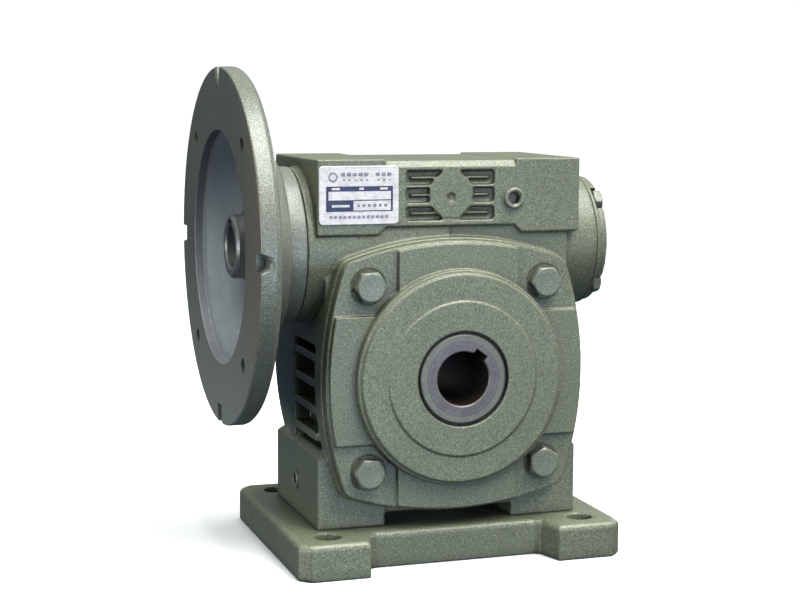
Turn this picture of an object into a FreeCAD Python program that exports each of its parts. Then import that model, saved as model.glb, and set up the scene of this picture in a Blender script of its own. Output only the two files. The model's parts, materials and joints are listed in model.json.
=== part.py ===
import FreeCAD, Part
import Sketcher
import math
import os
import re

from FreeCAD import Placement, Rotation, Vector

# Worm gearbox, size 70, hollow output shaft, flanged input, foot-mounted on its base plate.
#
# Frame, millimetres: the origin is the centre of the output bore.
#   +Y  along the output shaft, from the front cover (-Y) to the rear cover (+Y)
#   +X  along the worm, from the motor flange (-X) to the end cover (+X)
#   +Z  up; the worm lies above the wheel, one centre distance up

doc = FreeCAD.newDocument("worm_gearbox")
sheet = doc.addObject("Spreadsheet::Sheet", "Sizes")

SIZES = {
    # gear pair
    "centre_distance": 70,
    "gear_module": 3.5,
    "wheel_teeth": 30,
    "lead_angle": 5.71,
    "wheel_rim_width": 30,
    "wheel_rim_inner": 41,
    "wheel_hub_inner": 27.5,
    "wheel_hub_outer": 36,
    "wheel_hub_width": 40,
    "wheel_slot_width": 6.6,
    "thread_width": 3.4,
    "thread_length": 66,
    "tooth_clearance": 0.7,
    # housing
    "body_half_length": 72,
    "pad_half_length": 77.5,
    "body_half_width": 42,
    "pad_half_width": 45,
    "pad_inner": 38.5,
    "pad_bottom": 78.5,
    "body_top": 120,
    "body_bottom": -77.5,
    "panel_bottom": 83,
    "panel_top": 115.5,
    "cavity_radius": 60,
    "cavity_half_width": 38,
    "tunnel_radius": 25,
    "seat_step": 50,
    "seat_border": 1.2,
    "leg_inner": 38,
    "leg_outer": 77,
    "leg_top": -42,
    "cross_bar_top": -69,
    "left_boss_radius": 44,
    "left_boss_end": 82,
    "right_boss_radius": 39,
    "right_boss_end": 92,
    "side_fin_reach": 76,
    "side_fin_top": 10,
    "side_fin_pitch": 14.7,
    "side_fin_thickness": 4.5,
    "side_fin_front": -36,
    "side_fin_rear": 8,
    "side_rib_rear": 20,
    "side_pocket_wall": 66,
    "window_left": -26.5,
    "window_right": 25.6,
    "window_depth": 3.5,
    "window_corner": 1.6,
    "window_rib_inset": 3,
    "lower_row_bottom": 86,
    "lower_row_top": 93.7,
    "middle_row_bottom": 95.8,
    "middle_row_top": 104.2,
    "upper_row_bottom": 105.5,
    "upper_row_top": 113.7,
    "window_boss_flats": 25.4,
    "window_boss_height": 100,
    "level_plug_x": 37,
    "level_plug_height": 97.6,
    "drain_plug_y": 2,
    "drain_plug_height": -65.6,
    "plug_head_radius": 6.2,
    "plug_shank_radius": 5,
    "nameplate_left": -76.6,
    "nameplate_right": -31.1,
    "nameplate_bottom": 84.6,
    "nameplate_top": 116.5,
    "nameplate_thickness": 0.8,
    # front and rear covers
    "cover_half_span": 75.5,
    "cover_arc_radius": 184,
    "cover_corner": 9,
    "cover_pad_face": 56,
    "cover_plateau_face": 59,
    "cover_disc_face": 66.3,
    "cover_disc_radius": 58,
    "cover_ledge_radius": 60,
    "cover_ledge_depth": 2,
    "cover_boss_face": 67.3,
    "cover_boss_radius": 43,
    "cover_hole_radius": 26.6,
    "cover_pocket_x": 35,
    "cover_pocket_z": 35.5,
    "cover_bolt_offset": 51.5,
    "gasket_thickness": 0.5,
    # output shaft and its bearings
    "sleeve_radius": 25,
    "sleeve_half_length": 66.6,
    "output_bore": 15,
    "output_key_width": 8,
    "output_key_depth": 3.3,
    "output_key_angle": 37,
    "output_bearing_outer": 40,
    "output_bearing_inner_end": 38,
    "output_bearing_width": 20,
    # worm shaft and its bearings
    "hub_face": 115.4,
    "hub_radius": 18,
    "hub_end": 101,
    "journal_radius": 20,
    "journal_end": 60,
    "worm_neck_radius": 16,
    "tail_radius": 12.5,
    "tail_start": 62,
    "tail_end": 81,
    "motor_bore": 12,
    "motor_bore_end": 65,
    "motor_key_width": 8,
    "motor_key_depth": 3.3,
    "input_bearing_outer": 34,
    "input_bearing_width": 19,
    "input_bearing_start": 80,
    "tail_bearing_outer": 26,
    "tail_bearing_width": 15,
    # motor flange
    "flange_face": 122,
    "flange_radius": 100,
    "flange_thickness": 12,
    "spigot_radius": 65,
    "spigot_depth": 5,
    "flange_bolt_circle": 82.5,
    "flange_hole_radius": 4.25,
    "dish_back": 93,
    "dish_back_radius": 52,
    "dish_neck_radius": 58,
    "dish_floor": 106,
    "dish_floor_radius": 47,
    "dish_screw_circle": 39,
    "notch_width": 10,
    "notch_length": 11,
    # end cover
    "end_cover_face": 100,
    "end_cover_radius": 37,
    "end_bolt_offset": 23,
    # base plate
    "plate_half_length": 95,
    "plate_half_width": 75,
    "plate_top": -85,
    "plate_bottom": -105,
    "plate_waist": 57,
    "plate_waist_length": 52,
    "foot_hole_x": 75,
    "foot_hole_y": 57.5,
    "foot_hole_radius": 7.5,
    "leg_screw_x": 57.5,
    "leg_screw_y": 30,
    # clearances
    "running": 0.05,
}

for row, (alias, value) in enumerate(SIZES.items(), start=1):
    sheet.set(f"A{row}", alias)
    sheet.set(f"B{row}", str(value))
    sheet.setAlias(f"B{row}", alias)
doc.recompute()

PIECES = []


def keep(piece, label):
    """Name a finished piece; its label is its file's name."""
    piece.Label = label
    PIECES.append(piece)
    return piece


def size(alias):
    """A driving dimension, read back from the sheet."""
    return float(sheet.get(alias))


def linked(text):
    """The expression with each alias turned into a reference to the sheet."""
    return re.sub(r"[a-z_]{4,}", lambda word: f"Sizes.{word[0]}" if word[0] in SIZES else word[0], str(text))


def bind(thing, **expressions):
    """Tie properties of an object to expressions in the sheet's aliases."""
    for name, text in expressions.items():
        thing.setExpression(name, linked(text))


def put(thing, corner, turn=None):
    """Place an object at a point given by three expressions, with an optional rotation."""
    if turn is not None:
        thing.Placement = Placement(Vector(), turn)
    for letter, text in zip("xyz", corner):
        thing.setExpression(f"Placement.Base.{letter}", linked(text))


def block(name, along_x, along_y, along_z):
    """A box from its low and high limits along each axis."""
    box = doc.addObject("Part::Box", name)
    limits = (along_x, along_y, along_z)
    for side, (low, high) in zip(("Length", "Width", "Height"), limits):
        box.setExpression(side, linked(f"({high})-({low})"))
    put(box, [low for low, high in limits])
    return box


TURNS = {
    "X": Rotation(Vector(0, 1, 0), 90),
    "Y": Rotation(Vector(1, 0, 0), -90),
    "Z": Rotation(),
}


def base_point(axis, start, centre):
    """The point on an axis where a rod starts; centre holds the other two coordinates in order."""
    point = list(centre)
    point.insert("XYZ".index(axis), start)
    return point


def rod(name, axis, radius, low, high, centre=("0", "0")):
    """A cylinder along X, Y or Z between two limits."""
    cylinder = doc.addObject("Part::Cylinder", name)
    bind(cylinder, Radius=radius, Height=f"({high})-({low})")
    put(cylinder, base_point(axis, low, centre), TURNS[axis])
    return cylinder


def hexagon(name, axis, across_flats, low, high, centre=("0", "0")):
    """A hexagonal prism along X, Y or Z."""
    prism = doc.addObject("Part::Prism", name)
    prism.Polygon = 6
    bind(prism, Circumradius=f"({across_flats})/2/cos(30)", Height=f"({high})-({low})")
    put(prism, base_point(axis, low, centre), TURNS[axis])
    return prism


def octagon(name, across_flats, low, high, centre):
    """An octagonal prism along Y with flats on top, below and at both sides."""
    prism = doc.addObject("Part::Prism", name)
    prism.Polygon = 8
    bind(prism, Circumradius=f"({across_flats})/2/cos(22.5)", Height=f"({high})-({low})")
    put(prism, base_point("Y", low, centre), TURNS["Y"].multiply(Rotation(Vector(0, 0, 1), 22.5)))
    return prism


def fuse(name, *shapes):
    """One solid out of several."""
    union = doc.addObject("Part::MultiFuse", name)
    union.Shapes = list(shapes)
    union.Refine = True
    return union


def gather(name, *shapes):
    """Separate like pieces kept together under one name."""
    group = doc.addObject("Part::Compound", name)
    group.Links = list(shapes)
    return group


def cut(name, base, *tools):
    """The base with every tool taken away."""
    tool = tools[0]
    if len(tools) > 1:
        tool = doc.addObject("Part::MultiFuse", f"{name}_tools")
        tool.Shapes = list(tools)
    difference = doc.addObject("Part::Cut", name)
    difference.Base = base
    difference.Tool = tool
    return difference


def mirrored(name, source):
    """The same piece on the other side of the worm's plane."""
    copy = doc.addObject("Part::Mirroring", name)
    copy.Source = source
    copy.Normal = Vector(0, 1, 0)
    return copy


def common(name, *shapes):
    """The space that all the shapes share."""
    overlap = doc.addObject("Part::MultiCommon", name)
    overlap.Shapes = list(shapes)
    return overlap


def ring(name, axis, inner, outer, low, high, centre=("0", "0")):
    """A plain ring along an axis."""
    outside = rod(f"{name}_outside", axis, outer, low, high, centre)
    inside = rod(f"{name}_inside", axis, inner, f"({low})-1", f"({high})+1", centre)
    return cut(name, outside, inside)


def rounded(name, base, radius, chosen):
    """Fillets on the edges for which chosen(edge) is true."""
    doc.recompute()
    fillet = doc.addObject("Part::Fillet", name)
    fillet.Base = base
    edges = enumerate(base.Shape.Edges, start=1)
    fillet.Edges = [(index, radius, radius) for index, edge in edges if chosen(edge)]
    return fillet


def outlined(name, plane, outline):
    """A body with one sketch, a closed outline of (first, second) expressions in a plane."""
    body = doc.addObject("PartDesign::Body", name)
    planes = {feature.Role: feature for feature in body.Origin.OriginFeatures}
    sketch = body.newObject("Sketcher::SketchObject", f"{name}_outline")
    sketch.AttachmentSupport = [(planes[plane], "")]
    sketch.MapMode = "FlatFace"
    doc.recompute()
    texts = [[linked(text) for text in point] for point in outline]
    points = [Vector(*[float(body.evalExpression(text)) for text in point], 0) for point in texts]
    count = len(points)
    for number, point in enumerate(points):
        sketch.addGeometry(Part.LineSegment(point, points[(number + 1) % count]), False)
    for number in range(count):
        sketch.addConstraint(Sketcher.Constraint("Coincident", number, 2, (number + 1) % count, 1))
    for number, (point, text) in enumerate(zip(points, texts)):
        for kind, value, expression in (("DistanceX", point.x, text[0]), ("DistanceY", point.y, text[1])):
            index = sketch.addConstraint(Sketcher.Constraint(kind, -1, 1, number, 1, value))
            sketch.setExpression(f"Constraints[{index}]", expression)
    return body, sketch


def turned(name, axis, outline, height="0"):
    """A body of revolution about X or Y at some height; the outline is (along, radius)."""
    body, sketch = outlined(name, {"X": "XZ_Plane", "Y": "YZ_Plane"}[axis], outline)
    revolution = body.newObject("PartDesign::Revolution", f"{name}_turning")
    revolution.Profile = sketch
    revolution.ReferenceAxis = (sketch, ["H_Axis"])
    revolution.Angle = 360
    body.Tip = revolution
    body.setExpression("Placement.Base.z", linked(height))
    return body


def corners(across, up):
    """The four points (+-across, +-up) as expressions."""
    return [(f"{a}({across})", f"{b}({up})") for a in ("-", "+") for b in ("-", "+")]


WORM = ("0", "centre_distance")
SCREW_ANGLES = (45, 135, 225, 315)


# ---------------------------------------------------------------- covers and output side, front

def cover_outline(name, border, low, high):
    """The covers' outline, four wide arcs that meet at the corners, between two Y limits."""
    arcs = []
    reach = "cover_arc_radius-cover_half_span"
    centres = ((reach, "0"), (f"-({reach})", "0"), ("0", reach), ("0", f"-({reach})"))
    for number, centre in enumerate(centres):
        arcs.append(rod(f"{name}_arc_{number}", "Y", f"cover_arc_radius+{border}", low, high, centre))
    return common(f"{name}_arcs", *arcs)


def upright_corner(edge):
    """True for a straight edge along Y at an outer corner of a cover."""
    first, last = edge.Vertexes[0].Point, edge.Vertexes[-1].Point
    along_y = abs(first.x - last.x) < 0.01 and abs(first.z - last.z) < 0.01
    return along_y and abs(first.x) > 60 and abs(first.z) > 60


def seat_shape(name, border, low, high):
    """The covers' outline with its corners rounded."""
    plain = cover_outline(name, border, low, high)
    return rounded(f"{name}_corners", plain, size("cover_corner"), upright_corner)


def cover_holes(name, radius, low, high):
    """The four bolt holes of a cover, or anything else on their axes."""
    spots = enumerate(corners("cover_bolt_offset", "cover_bolt_offset"))
    return [rod(f"{name}_{number}", "Y", radius, low, high, spot) for number, spot in spots]


def build_front_cover():
    plate = seat_shape("cover_plate", "0", "-cover_pad_face", "-seat_step")
    raised = seat_shape("cover_raised", "-1.5", "-cover_plateau_face", "-cover_pad_face")
    upright = block(
        "cover_upright",
        ("-cover_pocket_x", "cover_pocket_x"),
        ("-cover_plateau_face", "-cover_pad_face"),
        ("-cover_half_span", "cover_half_span"),
    )
    level = block(
        "cover_level",
        ("-cover_half_span", "cover_half_span"),
        ("-cover_plateau_face", "-cover_pad_face"),
        ("-cover_pocket_z", "cover_pocket_z"),
    )
    cross = common("cover_cross", raised, fuse("cover_cross_bars", upright, level))
    disc = turned("cover_disc", "Y", [
        ("-seat_step", "cover_hole_radius"),
        ("-cover_boss_face", "cover_hole_radius"),
        ("-cover_boss_face", "cover_boss_radius"),
        ("-cover_disc_face", "cover_boss_radius"),
        ("-cover_disc_face", "cover_disc_radius-0.6"),
        ("-cover_disc_face+0.6", "cover_disc_radius"),
        ("-cover_disc_face+cover_ledge_depth", "cover_disc_radius"),
        ("-cover_disc_face+cover_ledge_depth", "cover_ledge_radius"),
        ("-seat_step", "cover_ledge_radius"),
    ])
    spigot = rod("cover_spigot", "Y", "cavity_radius-running", "-seat_step", "-cavity_half_width")
    solid = fuse("cover_solid", plate, cross, disc, spigot)
    passage = rod("cover_passage", "Y", "cover_hole_radius", "-cover_boss_face-1", "0")
    seal_seat = rod("cover_seal_seat", "Y", "36+running", "-64.5", "-50")
    bearing_end = "-output_bearing_inner_end-output_bearing_width"
    bearing_seat = rod("cover_bearing_seat", "Y", "output_bearing_outer+running", bearing_end, "0")
    holes = cover_holes("cover_hole", "5.3", "-cover_plateau_face-1", "-30")
    spots = cover_holes("cover_spot", "10.2", "-cover_plateau_face-1", "-cover_pad_face+0.4")
    return cut("front_cover_piece", solid, passage, seal_seat, bearing_seat, *holes, *spots)


def build_front_gasket():
    sheet_piece = seat_shape("gasket_sheet", "0", "-seat_step", "-seat_step+gasket_thickness")
    middle = rod("gasket_middle", "Y", "cavity_radius+0.3", "-seat_step-1", "0")
    holes = cover_holes("gasket_hole", "5.3", "-seat_step-1", "-40")
    return cut("front_gasket_piece", sheet_piece, middle, *holes)


def build_front_bolts():
    bolts = []
    spots = corners("cover_bolt_offset", "cover_bolt_offset")
    for number, spot in enumerate(spots):
        under_head = "-cover_pad_face+0.4"
        head = hexagon(f"cover_head_{number}", "Y", "16", f"{under_head}-6.4", under_head, spot)
        shank = rod(f"cover_shank_{number}", "Y", "5", f"{under_head}-6", "-37", spot)
        bolts.append(fuse(f"cover_bolt_{number}", head, shank))
    return gather("front_bolts_piece", *bolts)


def rolling_bearing(name, axis, bore, outer, low, high, centre, roller_radius, roller_count):
    """Inner ring, roller set and outer ring, each with its running clearance."""
    middle = f"(({bore})+({outer}))/2"
    race = f"({roller_radius}+running)"
    inner = ring(f"{name}_inner", axis, f"{bore}+0.02", f"{middle}-{race}", low, high, centre)
    shell = ring(f"{name}_outer", axis, f"{middle}+{race}+running", outer, low, high, centre)
    rollers = []
    for number in range(roller_count):
        angle = 360 / roller_count * number
        first = f"({centre[0]})+({middle})*cos({angle})"
        second = f"({centre[1]})+({middle})*sin({angle})"
        spot = (first, second)
        rollers.append(rod(f"{name}_roller_{number}", axis, roller_radius, f"{low}+1.5", f"{high}-1.5", spot))
    for end, (start, stop) in (("near", (f"{low}+0.5", f"{low}+2")), ("far", (f"{high}-2", f"{high}-0.5"))):
        cage = ring(f"{name}_cage_{end}", axis, f"{middle}-1", f"{middle}+1", start, stop, centre)
        rollers.append(cage)
    return inner, fuse(f"{name}_rollers", *rollers), shell


front_low = "-output_bearing_inner_end-output_bearing_width"
front_high = "-output_bearing_inner_end"
front_inner, front_rollers, front_shell = rolling_bearing(
    "front_bearing", "Y", "sleeve_radius", "output_bearing_outer", front_low, front_high, ("0", "0"), 2.8, 20
)
front_side = {
    "front_cover": build_front_cover(),
    "front_cover_gasket": build_front_gasket(),
    "front_cover_bolts": build_front_bolts(),
    "front_oil_seal": ring("front_seal", "Y", "sleeve_radius+running", "36", "-64.3", "-58.2"),
    "front_bearing_outer_ring": front_shell,
    "front_bearing_inner_ring": front_inner,
    "front_bearing_rollers": front_rollers,
    "front_spacer": ring("front_spacing", "Y", "sleeve_radius+0.02", "29", front_high, "-wheel_hub_width/2"),
}
for label, piece in front_side.items():
    keep(piece, label)
    rear = label.replace("front", "rear")
    keep(mirrored(f"{rear}_piece", piece), rear)


# ---------------------------------------------------------------- output shaft and worm wheel

def build_hollow_shaft():
    half = "sleeve_half_length"
    seat = "wheel_hub_width/2"
    tube = turned("sleeve_tube", "Y", [
        (f"-{half}", "output_bore+1.5"),
        (f"-{half}+1.5", "output_bore"),
        (f"{half}-1.5", "output_bore"),
        (half, "output_bore+1.5"),
        (half, "sleeve_radius-1.2"),
        (f"{half}-1.2", "sleeve_radius"),
        (seat, "sleeve_radius"),
        (seat, "wheel_hub_inner-running"),
        (f"-{seat}", "wheel_hub_inner-running"),
        (f"-{seat}", "sleeve_radius"),
        (f"-{half}+1.2", "sleeve_radius"),
        (f"-{half}", "sleeve_radius-1.2"),
    ])
    key_slot = block(
        "sleeve_slot",
        ("-output_key_width/2", "output_key_width/2"),
        (f"-{half}-1", f"{half}+1"),
        ("0", "output_bore+output_key_depth"),
    )
    turned_slot = gather("sleeve_slot_turned", key_slot)
    turned_slot.Placement = Placement(Vector(), Rotation(Vector(0, 1, 0), 1))
    turned_slot.setExpression("Placement.Rotation.Angle", linked("output_key_angle"))
    wheel_slot = block("sleeve_wheel_slot", ("-4.05", "4.05"), ("-18.1", "18.1"), ("23.95", "31"))
    return cut("hollow_shaft_piece", tube, turned_slot, wheel_slot)


def build_wheel_hub():
    half = "wheel_hub_width/2"
    web = "wheel_rim_width/2"
    disc = turned("wheel_disc", "Y", [
        (f"-{half}", "wheel_hub_inner"),
        (half, "wheel_hub_inner"),
        (half, "wheel_hub_outer"),
        (web, "wheel_hub_outer+1"),
        (web, "wheel_rim_inner-running"),
        (f"-{web}", "wheel_rim_inner-running"),
        (f"-{web}", "wheel_hub_outer+1"),
        (f"-{half}", "wheel_hub_outer"),
    ])
    key_slot = block("wheel_key_slot", ("-4.05", "4.05"), (f"-{half}-1", f"{half}+1"), ("23", "31.1"))
    return cut("wheel_hub_piece", disc, key_slot)


def build_wheel_rim():
    """Bronze rim with one slanted tooth space for each tooth."""
    teeth = int(size("wheel_teeth"))
    module = size("gear_module")
    pitch_radius = module * teeth / 2
    tip_radius = pitch_radius + module
    root_radius = tip_radius - 2 * module - size("tooth_clearance")
    width = size("wheel_rim_width")
    flank = math.tan(math.radians(20))
    half_slot = size("wheel_slot_width") / 2

    start = Vector(0, -width / 2, 0)
    along = Vector(0, 1, 0)
    blank = Part.makeCylinder(tip_radius, width, start, along)
    blank = blank.cut(Part.makeCylinder(size("wheel_rim_inner"), width, start, along))
    reach = width
    outline = []
    for radius, side in ((root_radius, -1), (tip_radius + 2, -1), (tip_radius + 2, 1), (root_radius, 1)):
        half_width = half_slot + (radius - pitch_radius) * flank
        outline.append(Vector(side * half_width, -reach, radius))
    face = Part.Face(Part.makePolygon(outline + outline[:1]))
    space = face.extrude(Vector(0, 2 * reach, 0))
    space.rotate(Vector(), Vector(0, 0, 1), -size("lead_angle"))
    spaces = []
    for number in range(teeth):
        copy = space.copy()
        copy.rotate(Vector(), Vector(0, 1, 0), 360 / teeth * number)
        spaces.append(copy)
    rim = doc.addObject("Part::Feature", "wheel_rim_piece")
    rim.Shape = blank.cut(spaces)
    return rim


keep(build_hollow_shaft(), "hollow_shaft")
keep(build_wheel_hub(), "worm_wheel_hub")
keep(build_wheel_rim(), "worm_wheel_rim")
keep(block("wheel_key_piece", ("-4", "4"), ("-18", "18"), ("24", "31")), "wheel_key")


# ---------------------------------------------------------------- worm shaft and its bearings

def build_thread():
    """One right-hand thread on the worm, a trapezoid swept along its helix."""
    module = size("gear_module")
    teeth = size("wheel_teeth")
    pitch_radius = size("centre_distance") - module * teeth / 2
    tip_radius = pitch_radius + module
    root_radius = pitch_radius - module - size("tooth_clearance")
    lead = math.pi * module
    length = size("thread_length")
    flank = math.tan(math.radians(20))
    half_width = size("thread_width") / 2
    sunk = 0.4

    helix = Part.makeHelix(lead, length, pitch_radius)
    profile = []
    foot = root_radius - sunk
    for radius, side in ((foot, -1), (tip_radius, -1), (tip_radius, 1), (foot, 1)):
        half = half_width - (radius - pitch_radius) * flank
        profile.append(Vector(radius, 0, side * half))
    wire = Part.makePolygon(profile + profile[:1])
    thread = Part.Wire(helix.Edges).makePipeShell([wire], True, True)
    thread.rotate(Vector(), Vector(0, 1, 0), 90)
    thread.translate(Vector(-length / 2, 0, size("centre_distance")))
    solid = doc.addObject("Part::Feature", "worm_thread")
    solid.Shape = thread
    return solid


def build_worm_shaft():
    root = "centre_distance-gear_module*wheel_teeth/2-gear_module-tooth_clearance"
    plain = turned("worm_turning", "X", [
        ("-hub_face", "motor_bore+1"),
        ("-hub_face+1", "motor_bore"),
        ("-motor_bore_end", "motor_bore"),
        ("-motor_bore_end+5", "0"),
        ("tail_end", "0"),
        ("tail_end", "tail_radius-1"),
        ("tail_end-1", "tail_radius"),
        ("tail_start", "tail_radius"),
        ("tail_start", "worm_neck_radius"),
        ("thread_length/2+8", "worm_neck_radius"),
        ("thread_length/2+4", root),
        ("-thread_length/2-4", root),
        ("-thread_length/2-8", "worm_neck_radius"),
        ("-journal_end+5", "worm_neck_radius"),
        ("-journal_end+5", "journal_radius+3"),
        ("-journal_end-1", "journal_radius+3"),
        ("-journal_end-1", "journal_radius"),
        ("-hub_end", "journal_radius"),
        ("-hub_end", "hub_radius"),
        ("-hub_face+1.5", "hub_radius"),
        ("-hub_face", "hub_radius-1.5"),
    ], "centre_distance")
    key_slot = block(
        "motor_key_slot",
        ("-hub_face-1", "-motor_bore_end"),
        ("-motor_key_width/2", "motor_key_width/2"),
        ("centre_distance", "centre_distance+motor_bore+motor_key_depth"),
    )
    slotted = cut("worm_slotted", plain, key_slot)
    return fuse("worm_shaft_piece", slotted, build_thread())


keep(build_worm_shaft(), "worm_shaft")

input_low = "-input_bearing_start"
input_high = "-input_bearing_start+input_bearing_width"
input_inner, input_rollers, input_shell = rolling_bearing(
    "input_bearing", "X", "journal_radius", "input_bearing_outer", input_low, input_high, WORM, 2.3, 16
)
keep(input_inner, "input_bearing_inner_ring")
keep(input_rollers, "input_bearing_rollers")
keep(input_shell, "input_bearing_outer_ring")

tail_low = "tail_start"
tail_high = "tail_start+tail_bearing_width"
tail_inner, tail_rollers, tail_shell = rolling_bearing(
    "tail_bearing", "X", "tail_radius", "tail_bearing_outer", tail_low, tail_high, WORM, 2.3, 14
)
keep(tail_inner, "tail_bearing_inner_ring")
keep(tail_rollers, "tail_bearing_rollers")
keep(tail_shell, "tail_bearing_outer_ring")
keep(ring("tail_nut", "X", "tail_radius+0.02", "17", tail_high, "tail_end-1", WORM), "tail_locknut")


# ---------------------------------------------------------------- motor flange

def on_flange(radius, angle):
    """A point on a circle about the worm's axis, as (across, up) expressions; 0 degrees is up."""
    return f"({radius})*sin({angle})", f"centre_distance+({radius})*cos({angle})"


def build_motor_flange():
    dish = turned("flange_dish", "X", [
        ("-flange_face", "spigot_radius"),
        ("-flange_face", "flange_radius-1"),
        ("-flange_face+1", "flange_radius"),
        ("-flange_face+flange_thickness-3", "flange_radius"),
        ("-flange_face+flange_thickness", "flange_radius-3"),
        ("-flange_face+flange_thickness", "dish_neck_radius"),
        ("-dish_back", "dish_back_radius"),
        ("-dish_back", "journal_radius+0.6"),
        ("-dish_floor", "journal_radius+0.6"),
        ("-dish_floor", "dish_floor_radius"),
        ("-flange_face+11", "dish_floor_radius+5"),
        ("-flange_face+spigot_depth", "spigot_radius-4"),
        ("-flange_face+spigot_depth", "spigot_radius"),
    ], "centre_distance")
    cutters = []
    back = "-flange_face+flange_thickness+1"
    for number, angle in enumerate(SCREW_ANGLES):
        spot = on_flange("flange_bolt_circle", angle)
        cutters.append(rod(f"flange_hole_{number}", "X", "flange_hole_radius", "-flange_face-1", back, spot))
        spot = on_flange("dish_screw_circle", angle)
        cutters.append(rod(f"dish_hole_{number}", "X", "3.3", "-dish_floor-1", "-dish_back+1", spot))
        cutters.append(rod(f"dish_counterbore_{number}", "X", "5.1", "-dish_floor-1", "-dish_floor+6", spot))
    pivot = Vector(0, 0, size("centre_distance"))
    for number, angle in enumerate((0, 90, 180, 270)):
        low = "centre_distance+flange_radius-notch_length"
        high = "centre_distance+flange_radius+1"
        groove = rod(f"notch_{number}", "Z", "notch_width/2", low, high, ("-flange_face", "0"))
        turned_groove = gather(f"notch_turned_{number}", groove)
        turned_groove.Placement = Placement(Vector(), Rotation(Vector(1, 0, 0), angle), pivot)
        cutters.append(turned_groove)
    return cut("motor_flange_piece", dish, *cutters)


def build_flange_screws():
    screws = []
    for number, angle in enumerate(SCREW_ANGLES):
        spot = on_flange("dish_screw_circle", angle)
        head = rod(f"flange_head_{number}", "X", "5", "-dish_floor+0.2", "-dish_floor+6", spot)
        shank = rod(f"flange_shank_{number}", "X", "3", "-dish_floor+5", "-70", spot)
        socket = hexagon(f"flange_socket_{number}", "X", "5", "-dish_floor", "-dish_floor+3.2", spot)
        screws.append(cut(f"flange_screw_{number}", fuse(f"flange_blank_{number}", head, shank), socket))
    return gather("flange_screws_piece", *screws)


def build_retainer():
    sleeve = turned("retainer_turning", "X", [
        ("-dish_back", "31"),
        ("-dish_back", "left_boss_radius+0.5"),
        ("-left_boss_end-gasket_thickness", "left_boss_radius+0.5"),
        ("-left_boss_end-gasket_thickness", "input_bearing_outer-running"),
        ("-input_bearing_start", "input_bearing_outer-running"),
        ("-input_bearing_start", "30"),
        ("-left_boss_end-3", "28"),
        ("-left_boss_end-3", "31"),
    ], "centre_distance")
    holes = []
    for number, angle in enumerate(SCREW_ANGLES):
        spot = on_flange("dish_screw_circle", angle)
        holes.append(rod(f"retainer_hole_{number}", "X", "3.3", "-dish_back-1", "-left_boss_end+1", spot))
    return cut("retainer_piece", sleeve, *holes)


def build_retainer_gasket():
    washer = ring(
        "retainer_washer", "X", "input_bearing_outer+0.2", "left_boss_radius-0.8",
        "-left_boss_end-gasket_thickness", "-left_boss_end", WORM,
    )
    holes = []
    for number, angle in enumerate(SCREW_ANGLES):
        spot = on_flange("dish_screw_circle", angle)
        holes.append(rod(f"washer_hole_{number}", "X", "3.3", "-dish_back", "-left_boss_end+1", spot))
    return cut("retainer_gasket_piece", washer, *holes)


keep(build_motor_flange(), "motor_flange")
keep(build_flange_screws(), "motor_flange_screws")
keep(build_retainer(), "bearing_retainer")
keep(build_retainer_gasket(), "retainer_gasket")
keep(ring("input_seal", "X", "journal_radius+running", "30.95", "-dish_back+0.5", "-left_boss_end-3.5", WORM),
     "input_oil_seal")


# ---------------------------------------------------------------- end cover

END_BOLTS = [
    (across, f"centre_distance+({up})")
    for across, up in corners("end_bolt_offset", "end_bolt_offset")
]


def build_end_cover():
    start = "right_boss_end+gasket_thickness"
    lid = turned("lid_turning", "X", [
        ("tail_start+tail_bearing_width+0.3", "20"),
        ("tail_start+tail_bearing_width+0.3", "tail_bearing_outer-running"),
        (start, "tail_bearing_outer-running"),
        (start, "right_boss_radius-0.5"),
        (f"{start}+2", "right_boss_radius-0.5"),
        (f"{start}+2", "end_cover_radius"),
        ("end_cover_face-1.5", "end_cover_radius"),
        ("end_cover_face", "end_cover_radius-1.5"),
        ("end_cover_face", "0"),
        ("end_cover_face-9", "0"),
        ("end_cover_face-9", "20"),
    ], "centre_distance")
    cutters = []
    for number, spot in enumerate(END_BOLTS):
        cutters.append(rod(f"lid_scallop_{number}", "X", "8.5", f"{start}+2", "end_cover_face+1", spot))
        cutters.append(rod(f"lid_hole_{number}", "X", "4.2", f"{start}-1", "end_cover_face", spot))
    return cut("end_cover_piece", lid, *cutters)


def build_end_gasket():
    washer = ring(
        "end_washer", "X", "tail_bearing_outer+0.2", "right_boss_radius-0.8",
        "right_boss_end", "right_boss_end+gasket_thickness", WORM,
    )
    holes = []
    for number, spot in enumerate(END_BOLTS):
        holes.append(rod(f"end_washer_hole_{number}", "X", "4.2", "right_boss_end-1", "end_cover_face", spot))
    return cut("end_gasket_piece", washer, *holes)


def build_end_bolts():
    bolts = []
    under_head = "right_boss_end+gasket_thickness+2"
    for number, spot in enumerate(END_BOLTS):
        head = hexagon(f"end_head_{number}", "X", "13", under_head, f"{under_head}+5.3", spot)
        shank = rod(f"end_shank_{number}", "X", "4", "78", f"{under_head}+5", spot)
        bolts.append(fuse(f"end_bolt_{number}", head, shank))
    return gather("end_bolts_piece", *bolts)


keep(build_end_cover(), "end_cover")
keep(build_end_gasket(), "end_cover_gasket")
keep(build_end_bolts(), "end_cover_bolts")


# ---------------------------------------------------------------- housing

LEVEL_PLUG = ("level_plug_x", "level_plug_height")
DRAIN_PLUG = ("drain_plug_y", "drain_plug_height")
LEG_SCREWS = corners("leg_screw_x", "leg_screw_y")


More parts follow.
